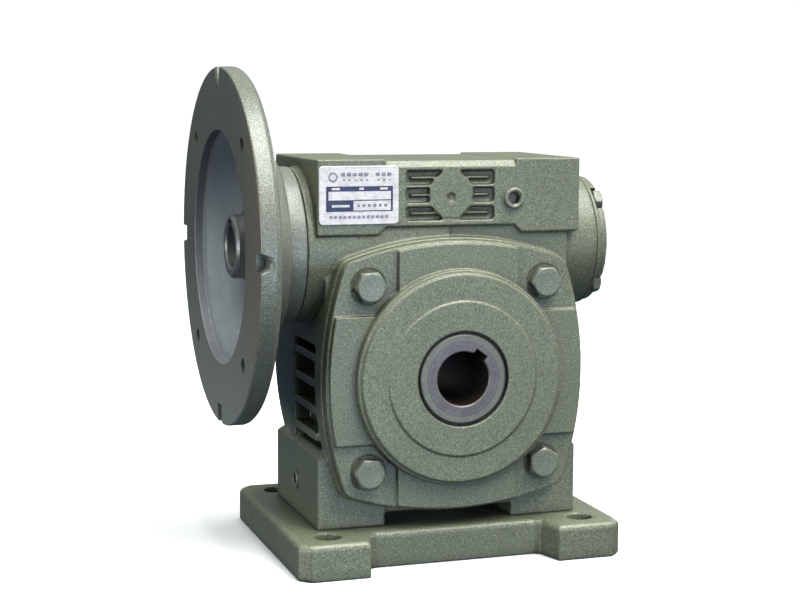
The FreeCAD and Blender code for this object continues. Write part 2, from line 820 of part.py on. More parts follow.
def build_pads():
    """The flat top of the housing: a tall pad at each end and a lower panel between them."""
    half, inner, slope = "pad_half_length", "pad_inner", "panel_bottom-pad_bottom"
    right = [
        ("pad_inner-0.5", "panel_bottom"),
        (f"pad_inner-0.5+{slope}", "pad_bottom"),
        (half, "pad_bottom"),
        (half, "body_top"),
        (inner, "body_top"),
        (inner, "panel_top"),
    ]
    left = [(f"-({x})", z) for x, z in reversed(right)]
    body, sketch = outlined("pads", "XZ_Plane", right + left)
    pad = body.newObject("PartDesign::Pad", "pads_thickness")
    pad.Profile = sketch
    pad.Midplane = True
    pad.setExpression("Length", linked("2*pad_half_width"))
    body.Tip = pad
    return body


def build_crown():
    """The sloped edges of the panel's top, between the pads."""
    crown = doc.addObject("Part::Wedge", "panel_crown")
    bind(
        crown,
        Xmin="-pad_inner-1", Xmax="pad_inner+1", X2min="-pad_inner-1", X2max="pad_inner+1",
        Ymin="panel_top", Ymax="body_top-1", Zmin="-pad_half_width", Zmax="pad_half_width",
        Z2min="-body_half_width", Z2max="body_half_width",
    )
    crown.Placement = Placement(Vector(), Rotation(Vector(1, 0, 0), 90))
    return crown


def build_castings():
    """The housing's outer shape, without its bores."""
    core = block(
        "housing_core",
        ("-body_half_length", "body_half_length"),
        ("-body_half_width", "body_half_width"),
        ("body_bottom", "body_top-1"),
    )
    cross_bar = block(
        "housing_cross_bar",
        ("-leg_inner-1", "leg_inner+1"),
        ("-pad_half_width+0.5", "pad_half_width-0.5"),
        ("body_bottom", "cross_bar_top"),
    )
    solids = [core, cross_bar, build_pads(), build_crown()]
    for side, sign in (("left", "-"), ("right", "+")):
        wide = ("-pad_half_width", "pad_half_width")
        limits = [f"{sign}(leg_inner)", f"{sign}(leg_outer)"]
        if sign == "-":
            limits.reverse()
        solids.append(block(f"{side}_leg", limits, wide, ("plate_top", "leg_top-3")))
        shoulder = doc.addObject("Part::Wedge", f"{side}_leg_shoulder")
        bind(
            shoulder,
            Xmin="-leg_outer", Xmax="leg_outer", X2min="-leg_outer+5", X2max="leg_outer-5",
            Ymin="leg_top-3", Ymax="leg_top+1", Zmin="-pad_half_width", Zmax="pad_half_width",
            Z2min="-pad_half_width+3", Z2max="pad_half_width-3",
        )
        shoulder.Placement = Placement(Vector(), Rotation(Vector(1, 0, 0), 90))
        middle = block(
            f"{side}_leg_middle", limits, wide, ("leg_top-4", "leg_top+2"),
        )
        solids.append(common(f"{side}_leg_slope", shoulder, middle))
    solids.append(seat_shape("housing_seat", "seat_border", "-seat_step+gasket_thickness",
                             "seat_step-gasket_thickness"))
    solids.append(rod("left_boss", "X", "left_boss_radius", "-left_boss_end", "0", WORM))
    solids.append(rod("right_boss", "X", "right_boss_radius", "0", "right_boss_end", WORM))
    return fuse("housing_castings", *solids)


WINDOW_ROWS = [(f"{row}_row_bottom", f"{row}_row_top") for row in ("lower", "middle", "upper")]


def mirror_limits(sign, near, far):
    """Limits along an axis on its negative or positive side."""
    return (f"-({far})", f"-({near})") if sign == "-" else (near, far)


def build_side_pockets():
    """A pocket in each side wall and the cooling fins that stand in it."""
    pockets = []
    fins = []
    top = "side_fin_top+side_fin_pitch/2"
    bottom = "side_fin_top-3.5*side_fin_pitch"
    for side, sign in (("left", "-"), ("right", "+")):
        deep = mirror_limits(sign, "side_pocket_wall", "leg_outer+1")
        pockets.append(block(f"{side}_pocket", deep, ("side_fin_front", "side_fin_rear"), (bottom, top)))
        reach = mirror_limits(sign, "side_pocket_wall-1", "side_fin_reach")
        for number in range(4):
            middle = f"side_fin_top-{number}*side_fin_pitch"
            tall = (f"{middle}-side_fin_thickness/2", f"{middle}+side_fin_thickness/2")
            fins.append(block(f"{side}_fin_{number}", reach, ("side_fin_front-1", "side_fin_rear+1"), tall))
        fins.append(block(f"{side}_rib", reach, ("side_fin_rear", "side_rib_rear"), (bottom, top)))
    return pockets, fins


def pocket_corner(edge):
    """True for a straight edge along Y."""
    first, last = edge.Vertexes[0].Point, edge.Vertexes[-1].Point
    return abs(first.x - last.x) < 0.01 and abs(first.z - last.z) < 0.01


def build_windows():
    """The windows high on the front and rear: pockets, a thin rib in each half, and a centre boss."""
    pockets = []
    raised = []
    centre = ("0", "window_boss_height")
    for face, sign in (("front", "-"), ("rear", "+")):
        deep = mirror_limits(sign, "pad_half_width-window_depth", "pad_half_width+1")
        rib = mirror_limits(sign, "pad_half_width-window_depth-1", "pad_half_width-1")
        boss = mirror_limits(sign, "pad_half_width-window_depth-1", "pad_half_width")
        for number, (low, high) in enumerate(WINDOW_ROWS):
            box = block(f"{face}_window_box_{number}", ("window_left", "window_right"), deep, (low, high))
            pockets.append(rounded(f"{face}_window_{number}", box, size("window_corner"), pocket_corner))
            middle = f"({low}+{high})/2"
            across = ("window_left+window_rib_inset", "window_right-window_rib_inset")
            thin = (f"{middle}-0.6", f"{middle}+0.6")
            raised.append(block(f"{face}_window_rib_{number}", across, rib, thin))
        raised.append(octagon(f"{face}_window_boss", "window_boss_flats", *boss, centre))
    return pockets, raised


def build_housing():
    castings = build_castings()
    side_pockets, side_fins = build_side_pockets()
    windows, window_ribs = build_windows()
    hollowed = cut("housing_pocketed", castings, *side_pockets, *windows)
    finned = fuse("housing_finned", hollowed, *side_fins, *window_ribs)

    cutters = [
        rod("wheel_cavity", "Y", "cavity_radius", "-seat_step", "seat_step"),
        rod("worm_tunnel", "X", "tunnel_radius", "-body_half_length", "body_half_length", WORM),
        rod("input_seat", "X", "input_bearing_outer+running", "-left_boss_end-1",
            "-input_bearing_start+input_bearing_width", WORM),
        rod("tail_seat", "X", "tail_bearing_outer+running", "tail_start", "right_boss_end+1", WORM),
    ]
    for face, low, high in (("front", "-seat_step-1", "-35"), ("rear", "35", "seat_step+1")):
        cutters += cover_holes(f"{face}_bolt_hole", "5.05", low, high)
    for number, angle in enumerate(SCREW_ANGLES):
        spot = on_flange("dish_screw_circle", angle)
        cutters.append(rod(f"boss_hole_{number}", "X", "3.05", "-left_boss_end-1", "-68", spot))
    for number, spot in enumerate(END_BOLTS):
        cutters.append(rod(f"end_hole_{number}", "X", "4.05", "76", "right_boss_end+1", spot))
    for number, spot in enumerate(LEG_SCREWS):
        cutters.append(rod(f"leg_hole_{number}", "Z", "5.05", "plate_top-1", "-62", spot))
    cutters.append(rod("level_hole", "Y", "plug_shank_radius+running", "-pad_half_width-1", "-4", LEVEL_PLUG))
    cutters.append(rod("drain_hole", "X", "plug_shank_radius+running", "-leg_outer-1", "-42", DRAIN_PLUG))
    cutters.append(rod("drain_riser", "Z", "4", "drain_plug_height", "-20", ("-45", "drain_plug_y")))
    for face, low, high in (("front", "-seat_step", "-43.6"), ("rear", "43.6", "seat_step")):
        cutters.append(rod(f"{face}_boss_dimple", "Y", "2.6", low, high, ("0", "window_boss_height-1.5")))
    return cut("housing_piece", finned, *cutters)


keep(build_housing(), "housing")


# ---------------------------------------------------------------- plugs, nameplate and base plate

def build_plug(name, axis, low, high, shank_end, centre):
    """A round-headed plug with a hexagon socket; low and high bound its head, low outermost."""
    head = rod(f"{name}_head", axis, "plug_head_radius", low, high, centre)
    shank = rod(f"{name}_shank", axis, "plug_shank_radius", low, shank_end, centre)
    socket = hexagon(f"{name}_socket", axis, "6", f"{low}-1", f"{low}+4", centre)
    return cut(f"{name}_piece", fuse(f"{name}_blank", head, shank), socket)


keep(build_plug("level_plug", "Y", "-47.6", "-45.6", "-30", LEVEL_PLUG), "level_plug")
keep(ring("level_washer", "Y", "5.1", "7.2", "-45.6", "-45", LEVEL_PLUG), "level_plug_washer")
keep(build_plug("drain_plug", "X", "-78.4", "-77", "-60", DRAIN_PLUG), "drain_plug")


def build_nameplate():
    plain = block(
        "plate_blank",
        ("nameplate_left", "nameplate_right"),
        ("-pad_half_width-nameplate_thickness", "-pad_half_width"),
        ("nameplate_bottom", "nameplate_top"),
    )

    def short_edge(edge):
        return abs(edge.Length - size("nameplate_thickness")) < 0.01

    return rounded("nameplate_piece", plain, 2.5, short_edge)


keep(build_nameplate(), "nameplate")


def build_base_plate():
    waist, inner, outer, wide = "plate_waist_length", "plate_waist", "plate_half_length", "plate_half_width"
    quarter = [
        (outer, "0"),
        (outer, f"{wide}-6"),
        (f"{outer}-6", wide),
        (f"{waist}+3.5", wide),
        (f"{waist}-1", f"{inner}+2"),
        (f"{waist}-5", inner),
    ]
    right_rear = quarter[1:]
    left_rear = [(f"-({x})", y) for x, y in reversed(right_rear)]
    left_front = [(f"-({x})", f"-({y})") for x, y in right_rear]
    right_front = [(x, f"-({y})") for x, y in reversed(right_rear)]
    body, sketch = outlined("plate_body", "XY_Plane", right_rear + left_rear + left_front + right_front)
    pad = body.newObject("PartDesign::Pad", "plate_pad")
    pad.Profile = sketch
    pad.setExpression("Length", linked("plate_top-plate_bottom"))
    body.Tip = pad
    body.setExpression("Placement.Base.z", linked("plate_bottom"))

    def top_rim(edge):
        points = [vertex.Point for vertex in edge.Vertexes]
        return all(abs(point.z - size("plate_top")) < 0.01 for point in points)

    smooth = rounded("plate_smooth", body, 3.5, top_rim)
    cutters = []
    through = ("plate_bottom-1", "plate_top+1")
    sunk = ("plate_bottom-1", "plate_bottom+11")
    for number, spot in enumerate(corners("foot_hole_x", "foot_hole_y")):
        cutters.append(rod(f"foot_hole_{number}", "Z", "foot_hole_radius", *through, spot))
    for number, spot in enumerate(LEG_SCREWS):
        cutters.append(rod(f"screw_hole_{number}", "Z", "5.5", *through, spot))
        cutters.append(rod(f"screw_counterbore_{number}", "Z", "8.75", *sunk, spot))
    return cut("base_plate_piece", smooth, *cutters)


def build_base_screws():
    screws = []
    for number, spot in enumerate(LEG_SCREWS):
        head = rod(f"base_head_{number}", "Z", "8", "plate_bottom+1", "plate_bottom+11", spot)
        shank = rod(f"base_shank_{number}", "Z", "5", "plate_bottom+10", "-64", spot)
        socket = hexagon(f"base_socket_{number}", "Z", "8", "plate_bottom", "plate_bottom+6", spot)
        screws.append(cut(f"base_screw_{number}", fuse(f"base_blank_{number}", head, shank), socket))
    return gather("base_screws_piece", *screws)


keep(build_base_plate(), "base_plate")
keep(build_base_screws(), "base_plate_screws")


# ---------------------------------------------------------------- checks and files

doc.recompute()
for thing in doc.Objects:
    if "Invalid" in thing.State or "Error" in thing.State:
        raise RuntimeError(f"{thing.Name} failed: {thing.State}")
for piece in PIECES:
    if piece.Shape.isNull() or not piece.Shape.isValid() or not piece.Shape.Solids:
        raise RuntimeError(f"{piece.Label} has no valid solid")

os.makedirs("parts", exist_ok=True)
for piece in PIECES:
    piece.Shape.exportStep(f"parts/{piece.Label}.step")
    solids = piece.Shape.Solids
    bounds = piece.Shape.BoundBox
    print(f"{piece.Label}: {len(solids)} solid(s), {piece.Shape.Volume / 1000:.1f} cm3, "
          f"{bounds.XLength:.1f} x {bounds.YLength:.1f} x {bounds.ZLength:.1f}")
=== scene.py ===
import json
import math

import bmesh
import bpy
from mathutils import Matrix, Vector


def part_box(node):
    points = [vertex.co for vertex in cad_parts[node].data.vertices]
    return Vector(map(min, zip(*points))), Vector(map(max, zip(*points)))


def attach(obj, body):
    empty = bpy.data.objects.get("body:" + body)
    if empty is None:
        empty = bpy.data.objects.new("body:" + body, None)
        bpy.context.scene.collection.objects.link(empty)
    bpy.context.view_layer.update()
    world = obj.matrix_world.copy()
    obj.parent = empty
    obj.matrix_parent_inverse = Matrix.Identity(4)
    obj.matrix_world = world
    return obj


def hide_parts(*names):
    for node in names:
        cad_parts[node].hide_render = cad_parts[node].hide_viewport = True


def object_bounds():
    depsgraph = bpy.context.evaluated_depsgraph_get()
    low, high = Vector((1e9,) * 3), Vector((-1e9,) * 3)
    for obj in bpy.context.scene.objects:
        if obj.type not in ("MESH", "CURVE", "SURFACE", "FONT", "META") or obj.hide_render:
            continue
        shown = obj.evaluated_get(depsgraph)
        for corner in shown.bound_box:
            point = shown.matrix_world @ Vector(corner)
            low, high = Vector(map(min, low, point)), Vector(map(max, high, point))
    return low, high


# Worm gearbox: the looks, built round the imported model. Sizes are in millimetres unless their
# names end in _M; every mesh is made in metres in the model's own frame (+X runs along the worm
# from the motor flange, +Y along the output shaft from front to rear, and +Z is up).

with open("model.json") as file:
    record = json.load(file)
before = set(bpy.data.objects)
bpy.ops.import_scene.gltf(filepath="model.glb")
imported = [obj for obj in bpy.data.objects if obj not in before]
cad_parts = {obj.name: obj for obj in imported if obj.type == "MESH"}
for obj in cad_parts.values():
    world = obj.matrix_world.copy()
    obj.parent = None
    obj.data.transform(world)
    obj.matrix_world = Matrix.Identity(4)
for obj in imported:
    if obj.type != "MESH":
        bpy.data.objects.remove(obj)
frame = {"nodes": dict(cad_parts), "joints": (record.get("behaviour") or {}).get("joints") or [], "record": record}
cad_low, cad_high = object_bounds()

MM = 0.001
JOINTS = {joint["name"]: joint for joint in frame["joints"]}
WORM_HEIGHT = JOINTS["worm_spin"]["pos_m"][2] / MM
SLOTS = {part["node"]: part["material_slot"] for part in frame["record"]["subparts"]}


def limits(node, axis):
    """The low and high limits of a CAD node along one axis, in millimetres."""
    low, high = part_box(node)
    index = "XYZ".index(axis)
    return low[index] / MM, high[index] / MM


# ---------------------------------------------------------------- camera

CAMERA_AZIMUTH = -18.5
CAMERA_ELEVATION = 7.16
CAMERA_DISTANCE_M = 0.98856
CAMERA_RIGHT_M = -0.01385
CAMERA_UP_M = 0.03552
CAMERA_ROLL = 0.304
SENSOR_WIDTH = 36
FOCAL_LENGTH = 75.8
CLIP_M = (0.05, 20)


def add_camera():
    """The camera: it looks past the origin from the front left, a little above."""
    azimuth = math.radians(CAMERA_AZIMUTH)
    elevation = math.radians(CAMERA_ELEVATION)
    roll = math.radians(CAMERA_ROLL)
    back = Vector((
        math.sin(azimuth) * math.cos(elevation),
        -math.cos(azimuth) * math.cos(elevation),
        math.sin(elevation),
    ))
    level_right = (-back).cross(Vector((0, 0, 1))).normalized()
    level_up = level_right.cross(-back)
    right = level_right * math.cos(roll) + level_up * math.sin(roll)
    up = level_up * math.cos(roll) - level_right * math.sin(roll)
    data = bpy.data.cameras.new("camera")
    data.sensor_width = SENSOR_WIDTH
    data.lens = FOCAL_LENGTH
    data.clip_start, data.clip_end = CLIP_M
    camera = bpy.data.objects.new("camera", data)
    bpy.context.scene.collection.objects.link(camera)
    axes = Matrix((right, up, back)).transposed().to_4x4()
    spot = back * CAMERA_DISTANCE_M + right * CAMERA_RIGHT_M + up * CAMERA_UP_M
    camera.matrix_world = Matrix.Translation(spot) @ axes
    bpy.context.scene.camera = camera


add_camera()


# ---------------------------------------------------------------- light and floor

WARM, NEUTRAL = (1.0, 0.995, 0.96), (1, 1, 1)
COOL, BLUE = (0.86, 0.92, 1.0), (0.66, 0.80, 1.0)

# Each soft box: its place and its target in metres, its power, the side of its square, its colour.
SOFT_BOXES = {
    "key": ((0.45, -1.0, 1.1), (0, 0, 0), 17, 0.6, WARM),
    "low_front": ((0.15, -1.3, -0.03), (0, 0, -0.07), 8.5, 0.6, BLUE),
    "low_left": ((-1.2, -0.5, 0.02), (0, 0, -0.04), 12, 0.6, COOL),
    "side": ((1.2, -0.2, 0.4), (0, 0, 0.03), 3.5, 0.6, NEUTRAL),
    "left": ((-0.62, -0.12, 1.15), (-0.1, 0, 0.03), 9, 0.4, NEUTRAL),
    "rear": ((1.1, 1.0, 0.1), (0, 0, 0.02), 6, 0.6, NEUTRAL),
}

SKY_STRENGTH = 4.9
SKY_SPREAD = 36
SKY_DIRECTION = (-0.22, 0.24, -1)

SURROUND_BELOW = (0.06, 0.09, 0.13, 1)
SURROUND_ABOVE = (0.50, 0.52, 0.50, 1)
SURROUND_TURN = 0.55
SEEN_WHITE = 1.05

FLOOR_HALF_M = 4
FLOOR_GAP_M = 0.0004


def aimed(light, direction):
    """Turns a light to shine along a direction."""
    light.rotation_mode = "QUATERNION"
    light.rotation_quaternion = Vector(direction).to_track_quat("-Z", "Y")
    bpy.context.scene.collection.objects.link(light)


def add_soft_box(name, spot, target, power, size, colour):
    """A square soft box, aimed at its target."""
    data = bpy.data.lights.new(name, "AREA")
    data.energy = power
    data.size = size
    data.color = colour
    light = bpy.data.objects.new(name, data)
    light.location = spot
    aimed(light, Vector(target) - Vector(spot))


def add_sky_light():
    """Even soft light from above, a little from the front and the right."""
    data = bpy.data.lights.new("sky_light", "SUN")
    data.energy = SKY_STRENGTH
    data.angle = math.radians(SKY_SPREAD)
    aimed(bpy.data.objects.new("sky_light", data), SKY_DIRECTION)


def add_surround():
    """Pale light from above and a little blue from below; the surround itself is seen as white."""
    world = bpy.data.worlds.new("surround")
    world.use_nodes = True
    nodes, links = world.node_tree.nodes, world.node_tree.links
    place = nodes.new("ShaderNodeTexCoord")
    split = nodes.new("ShaderNodeSeparateXYZ")
    ramp = nodes.new("ShaderNodeValToRGB")
    below, above = ramp.color_ramp.elements
    below.position, below.color = 0.0, SURROUND_BELOW
    above.position, above.color = SURROUND_TURN, SURROUND_ABOVE
    links.new(place.outputs["Generated"], split.inputs[0])
    links.new(split.outputs["Z"], ramp.inputs["Fac"])
    dim = nodes["Background"]
    dim.inputs["Strength"].default_value = 1.0
    links.new(ramp.outputs["Color"], dim.inputs["Color"])
    white = nodes.new("ShaderNodeBackground")
    white.inputs["Color"].default_value = (1, 1, 1, 1)
    white.inputs["Strength"].default_value = SEEN_WHITE
    path = nodes.new("ShaderNodeLightPath")
    choice = nodes.new("ShaderNodeMixShader")
    links.new(path.outputs["Is Camera Ray"], choice.inputs[0])
    links.new(dim.outputs[0], choice.inputs[1])
    links.new(white.outputs[0], choice.inputs[2])
    links.new(choice.outputs[0], nodes["World Output"].inputs["Surface"])
    bpy.context.scene.world = world


def add_studio():
    """Soft boxes, a pale surround and a pale floor under the foot plate."""
    for name, box in SOFT_BOXES.items():
        add_soft_box(name, *box)
    add_sky_light()
    add_surround()
    bpy.context.scene.view_settings.view_transform = "Standard"

    mesh = bpy.data.meshes.new("floor")
    half, level = FLOOR_HALF_M, cad_low.z - FLOOR_GAP_M
    corners = [(-half, -half, level), (half, -half, level), (half, half, level), (-half, half, level)]
    mesh.from_pydata(corners, [], [(0, 1, 2, 3)])
    floor = bpy.data.objects.new("floor", mesh)
    bpy.context.scene.collection.objects.link(floor)
    floor.data.materials.append(floor_paper())
    floor.visible_diffuse = False
    floor.visible_glossy = False


# ---------------------------------------------------------------- materials

class Finish:
    """A material under construction: short calls for the nodes that the finishes share."""

    def __init__(self, name, base, roughness, metallic=0.0, specular=0.5):
        self.material = bpy.data.materials.new(name)
        self.material.use_nodes = True
        self.tree = self.material.node_tree
        self.shader = self.tree.nodes["Principled BSDF"]
        self.shader.inputs["Base Color"].default_value = (*base, 1)
        self.shader.inputs["Roughness"].default_value = roughness
        self.shader.inputs["Metallic"].default_value = metallic
        self.shader.inputs["Specular IOR Level"].default_value = specular
        self.place = self.tree.nodes.new("ShaderNodeTexCoord").outputs["Object"]
        self.normal = None

    def node(self, kind, links=(), **values):
        """A node with inputs set by value or linked from other nodes' sockets."""
        made = self.tree.nodes.new(kind)
        for name, value in values.items():
            setattr(made, name, value)
        for name, source in links:
            target = made.inputs[name]
            if isinstance(source, bpy.types.NodeSocket):
                self.tree.links.new(source, target)
            else:
                target.default_value = source
        return made

    def noise(self, scale, detail=3.0, roughness=0.5, place=None):
        """Noise from 0 to 1; scale is in cycles for each metre."""
        made = self.node("ShaderNodeTexNoise", (
            ("Vector", place or self.place),
            ("Scale", scale),
            ("Detail", detail),
            ("Roughness", roughness),
        ))
        return made.outputs["Fac"]

    def cells(self, scale):
        """Distance to the nearest of many scattered points."""
        made = self.node("ShaderNodeTexVoronoi", (("Vector", self.place), ("Scale", scale)))
        return made.outputs["Distance"]

    def ramp(self, source, *stops):
        """Colours or greys at positions along a value."""
        made = self.node("ShaderNodeValToRGB", (("Fac", source),))
        points = made.color_ramp.elements
        while len(points) < len(stops):
            points.new(0.5)
        for point, (position, colour) in zip(points, stops):
            point.position = position
            point.color = (colour,) * 3 + (1,) if isinstance(colour, (int, float)) else (*colour, 1)
        return made.outputs["Color"]

    def mix(self, share, first, second):
        """Two colours or sockets mixed by a share."""
        made = self.node("ShaderNodeMix", data_type="RGBA")
        for index, value in ((0, share), (6, first), (7, second)):
            if isinstance(value, bpy.types.NodeSocket):
                self.tree.links.new(value, made.inputs[index])
            elif isinstance(value, tuple):
                made.inputs[index].default_value = (*value, 1)
            else:
                made.inputs[index].default_value = value
        return made.outputs[2]

    def maths(self, operation, first, second=0.0):
        """One arithmetic step."""
        made = self.node("ShaderNodeMath", operation=operation)
        for index, value in ((0, first), (1, second)):
            if isinstance(value, bpy.types.NodeSocket):
                self.tree.links.new(value, made.inputs[index])
            else:
                made.inputs[index].default_value = value
        return made.outputs[0]

    def between(self, source, low, high):
        """0 at low, 1 at high, and even between them; low may be the larger of the two."""
        made = self.node("ShaderNodeMapRange", (
            ("Value", source),
            ("From Min", low),
            ("From Max", high),
        ))
        return made.outputs["Result"]

    def fade(self, letter, start, end, most):
        """A share that grows along a coordinate, from 0 at start to most at end, in metres."""
        return self.ramp(self.between(self.axis(letter), start, end), (0.0, 0.0), (1.0, most))

    def axis(self, letter, offset=(0, 0, 0)):
        """A coordinate of the object's own space, in metres."""
        moved = self.node("ShaderNodeVectorMath", operation="SUBTRACT")
        self.tree.links.new(self.place, moved.inputs[0])
        moved.inputs[1].default_value = offset
        split = self.node("ShaderNodeSeparateXYZ", (("Vector", moved.outputs[0]),))
        return split.outputs[letter]

    def radius(self, axis, centre):
        """Distance from an axis along X or Y through a centre."""
        squares = []
        for letter in "XYZ".replace(axis, ""):
            value = self.axis(letter, centre)
            squares.append(self.maths("MULTIPLY", value, value))
        return self.maths("SQRT", self.maths("ADD", squares[0], squares[1]))

    def bump(self, height, strength, distance):
        """Adds relief to what is there already."""
        made = self.node("ShaderNodeBump", (
            ("Height", height),
            ("Strength", strength),
            ("Distance", distance),
        ))
        if self.normal is not None:
            self.tree.links.new(self.normal, made.inputs["Normal"])
        self.normal = made.outputs["Normal"]

    def done(self, colour, roughness=None):
        """Connects what varies and gives the material."""
        for name, socket in (("Base Color", colour), ("Roughness", roughness)):
            if socket is not None:
                self.tree.links.new(socket, self.shader.inputs[name])
        if self.normal is not None:
            self.tree.links.new(self.normal, self.shader.inputs["Normal"])
        return self.material


def floor_paper():
    """Pale matt paper."""
    finish = Finish("floor_paper", (0.58, 0.58, 0.58), 0.9, specular=0.1)
    tone = finish.ramp(finish.noise(6), (0.3, (0.63, 0.635, 0.645)), (0.7, (0.66, 0.665, 0.675)))
    return finish.done(tone)


ENAMEL_DARK = (0.066, 0.076, 0.045)
ENAMEL_PALE = (0.139, 0.155, 0.096)
ENAMEL_SPECK = (0.340, 0.360, 0.290)


def dimmer(colour, share):
    """A colour times a share."""
    return tuple(share * part for part in colour)


def enamel(name, dark=ENAMEL_DARK, pale=ENAMEL_PALE, speck=ENAMEL_SPECK, relief=1.0, gloss=0.35):
    """Enamel over a sand casting: fine mottled tone, small pale specks and a sandy relief.

    The gloss is the mean roughness. Hollows are darker: painted shade, from an ambient occlusion mask."""
    finish = Finish(name, pale, gloss, metallic=0.08, specular=0.52)
    broad = finish.noise(24, 3)
    grain = finish.noise(1900, 2, 0.5)
    sand = finish.noise(1050, 3, 0.7)
    dots = finish.cells(420)
    tone = finish.ramp(sand, (0.40, dark), (0.58, pale))
    tone = finish.mix(finish.ramp(grain, (0.52, 0.0), (0.70, 0.35)), tone, speck)
    tone = finish.mix(finish.ramp(dots, (0.11, 0.65), (0.17, 0.0)), tone, speck)
    tone = finish.mix(finish.ramp(broad, (0.35, 0.14), (0.65, 0.0)), tone, dimmer(dark, 0.6))
    # Painted shade: an occlusion mask darkens the hollows, the creases and the rims round bolt heads.
    shade_occlusion = finish.node("ShaderNodeAmbientOcclusion", (("Distance", 0.010),), samples=8)
    hollow = finish.ramp(shade_occlusion.outputs["AO"], (0.25, 0.75), (0.85, 0.0))
    tone = finish.mix(hollow, tone, dimmer(dark, 0.25))
    finish.bump(sand, 0.45 * relief, 0.0004)
    finish.bump(grain, 0.35 * relief, 0.0002)
    return finish.done(tone, finish.ramp(sand, (0.35, gloss + 0.08), (0.7, gloss - 0.05)))


def turned_steel(name, axis, centre, dark, pale, metallic):
    """Turned steel with fine rings about an axis and a dull oil film."""
    finish = Finish(name, pale, 0.35, metallic=metallic)
    radius = finish.radius(axis, centre)
    along = finish.axis(axis, centre)
    steps = finish.node("ShaderNodeCombineXYZ", (("X", radius), ("Y", along)))
    rings = finish.noise(2600, 2, 0.7, steps.outputs[0])
    stain = finish.noise(60, 4, 0.6)
    speck = finish.noise(700, 3, 0.6)
    tone = finish.ramp(rings, (0.3, dark), (0.7, pale))
    tone = finish.mix(finish.ramp(stain, (0.42, 0.45), (0.62, 0.0)), tone, dimmer(dark, 0.6))
    tone = finish.mix(finish.ramp(speck, (0.56, 0.0), (0.75, 0.45)), tone, dimmer(pale, 1.5))
    finish.bump(rings, 0.35, 0.00006)
    return finish.done(tone, finish.ramp(stain, (0.3, 0.34), (0.7, 0.50)))


def simple_metal(name, dark, pale, roughness, metallic=0.9, scale=90):
    """Ground or cast metal with a little tone and relief."""
    finish = Finish(name, pale, roughness, metallic=metallic)
    blotch = finish.noise(scale, 5, 0.6)
    grain = finish.noise(1400, 2)
    finish.bump(grain, 0.2, 0.0001)
    tone = finish.ramp(blotch, (0.35, dark), (0.65, pale))
    gloss = finish.ramp(blotch, (0.3, roughness * 0.8), (0.7, roughness * 1.2))
    return finish.done(tone, gloss)


def seal_rubber():
    """Black nitrile rubber with a dusty bloom."""
    finish = Finish("seal_rubber", (0.012, 0.012, 0.013), 0.55, specular=0.35)
    dust = finish.noise(240, 4)
    tone = finish.ramp(dust, (0.45, (0.008, 0.008, 0.009)), (0.75, (0.035, 0.035, 0.036)))
    finish.bump(finish.noise(900, 2), 0.15, 0.0001)
    return finish.done(tone)


def gasket_fibre():
    """Dark fibre sheet."""
    finish = Finish("gasket_fibre", (0.05, 0.045, 0.035), 0.85)
    strands = finish.noise(800, 5, 0.7)
    finish.bump(strands, 0.4, 0.0002)
    tone = finish.ramp(strands, (0.3, (0.030, 0.027, 0.022)), (0.7, (0.075, 0.065, 0.05)))
    return finish.done(tone)


def flange_face():
    """The motor flange's turned and sprayed face: dark, with faint rings, stains and specks.

    It has a painted reflection that makes it paler low down, and it is browner towards the front."""
    centre = (0, 0, WORM_HEIGHT * MM)
    finish = Finish("flange_face", (0.09, 0.09, 0.075), 0.5, specular=0.25)
    radius = finish.radius("X", centre)
    steps = finish.node("ShaderNodeCombineXYZ", (("X", radius),))
    rings = finish.noise(1500, 2, 0.7, steps.outputs[0])
    stain = finish.noise(26, 4, 0.6)
    speck = finish.noise(900, 3, 0.6)
    tone = finish.ramp(rings, (0.35, (0.048, 0.054, 0.042)), (0.65, (0.070, 0.077, 0.060)))
    tone = finish.mix(finish.ramp(stain, (0.48, 0.0), (0.70, 0.45)), tone, (0.085, 0.072, 0.055))
    # Painted reflection: the face is paler low down.
    tone = finish.mix(finish.fade("Z", 0.07, -0.03, 0.8), tone, (0.17, 0.185, 0.16))
    tone = finish.mix(finish.fade("Y", -0.045, -0.095, 0.5), tone, (0.118, 0.088, 0.058))
    tone = finish.mix(finish.ramp(speck, (0.55, 0.0), (0.8, 0.4)), tone, (0.15, 0.16, 0.13))
    finish.bump(rings, 0.15, 0.00004)
    finish.bump(speck, 0.25, 0.0001)
    return finish.done(tone, finish.ramp(speck, (0.4, 0.52), (0.7, 0.42)))


def flange_bowl():
    """The smooth sprayed bowl inside the motor flange: blue-grey with a misty grain, and a painted shadow of the
    rim high up.
    """
    finish = Finish("flange_bowl", (0.2, 0.21, 0.215), 0.5, metallic=0.15)
    mist = finish.noise(1000, 3, 0.6)
    cloud = finish.noise(40, 4, 0.55)
    tone = finish.ramp(mist, (0.35, (0.150, 0.166, 0.168)), (0.65, (0.225, 0.243, 0.240)))
    tone = finish.mix(finish.ramp(cloud, (0.40, 0.35), (0.62, 0.0)), tone, (0.115, 0.126, 0.127))
    # Painted shadow: the bowl is darker high up, where the rim shades it.
    tone = finish.mix(finish.fade("Z", 0.05, 0.12, 0.8), tone, (0.055, 0.062, 0.066))
    finish.bump(mist, 0.25, 0.00015)
    return finish.done(tone, finish.ramp(mist, (0.35, 0.55), (0.7, 0.44)))


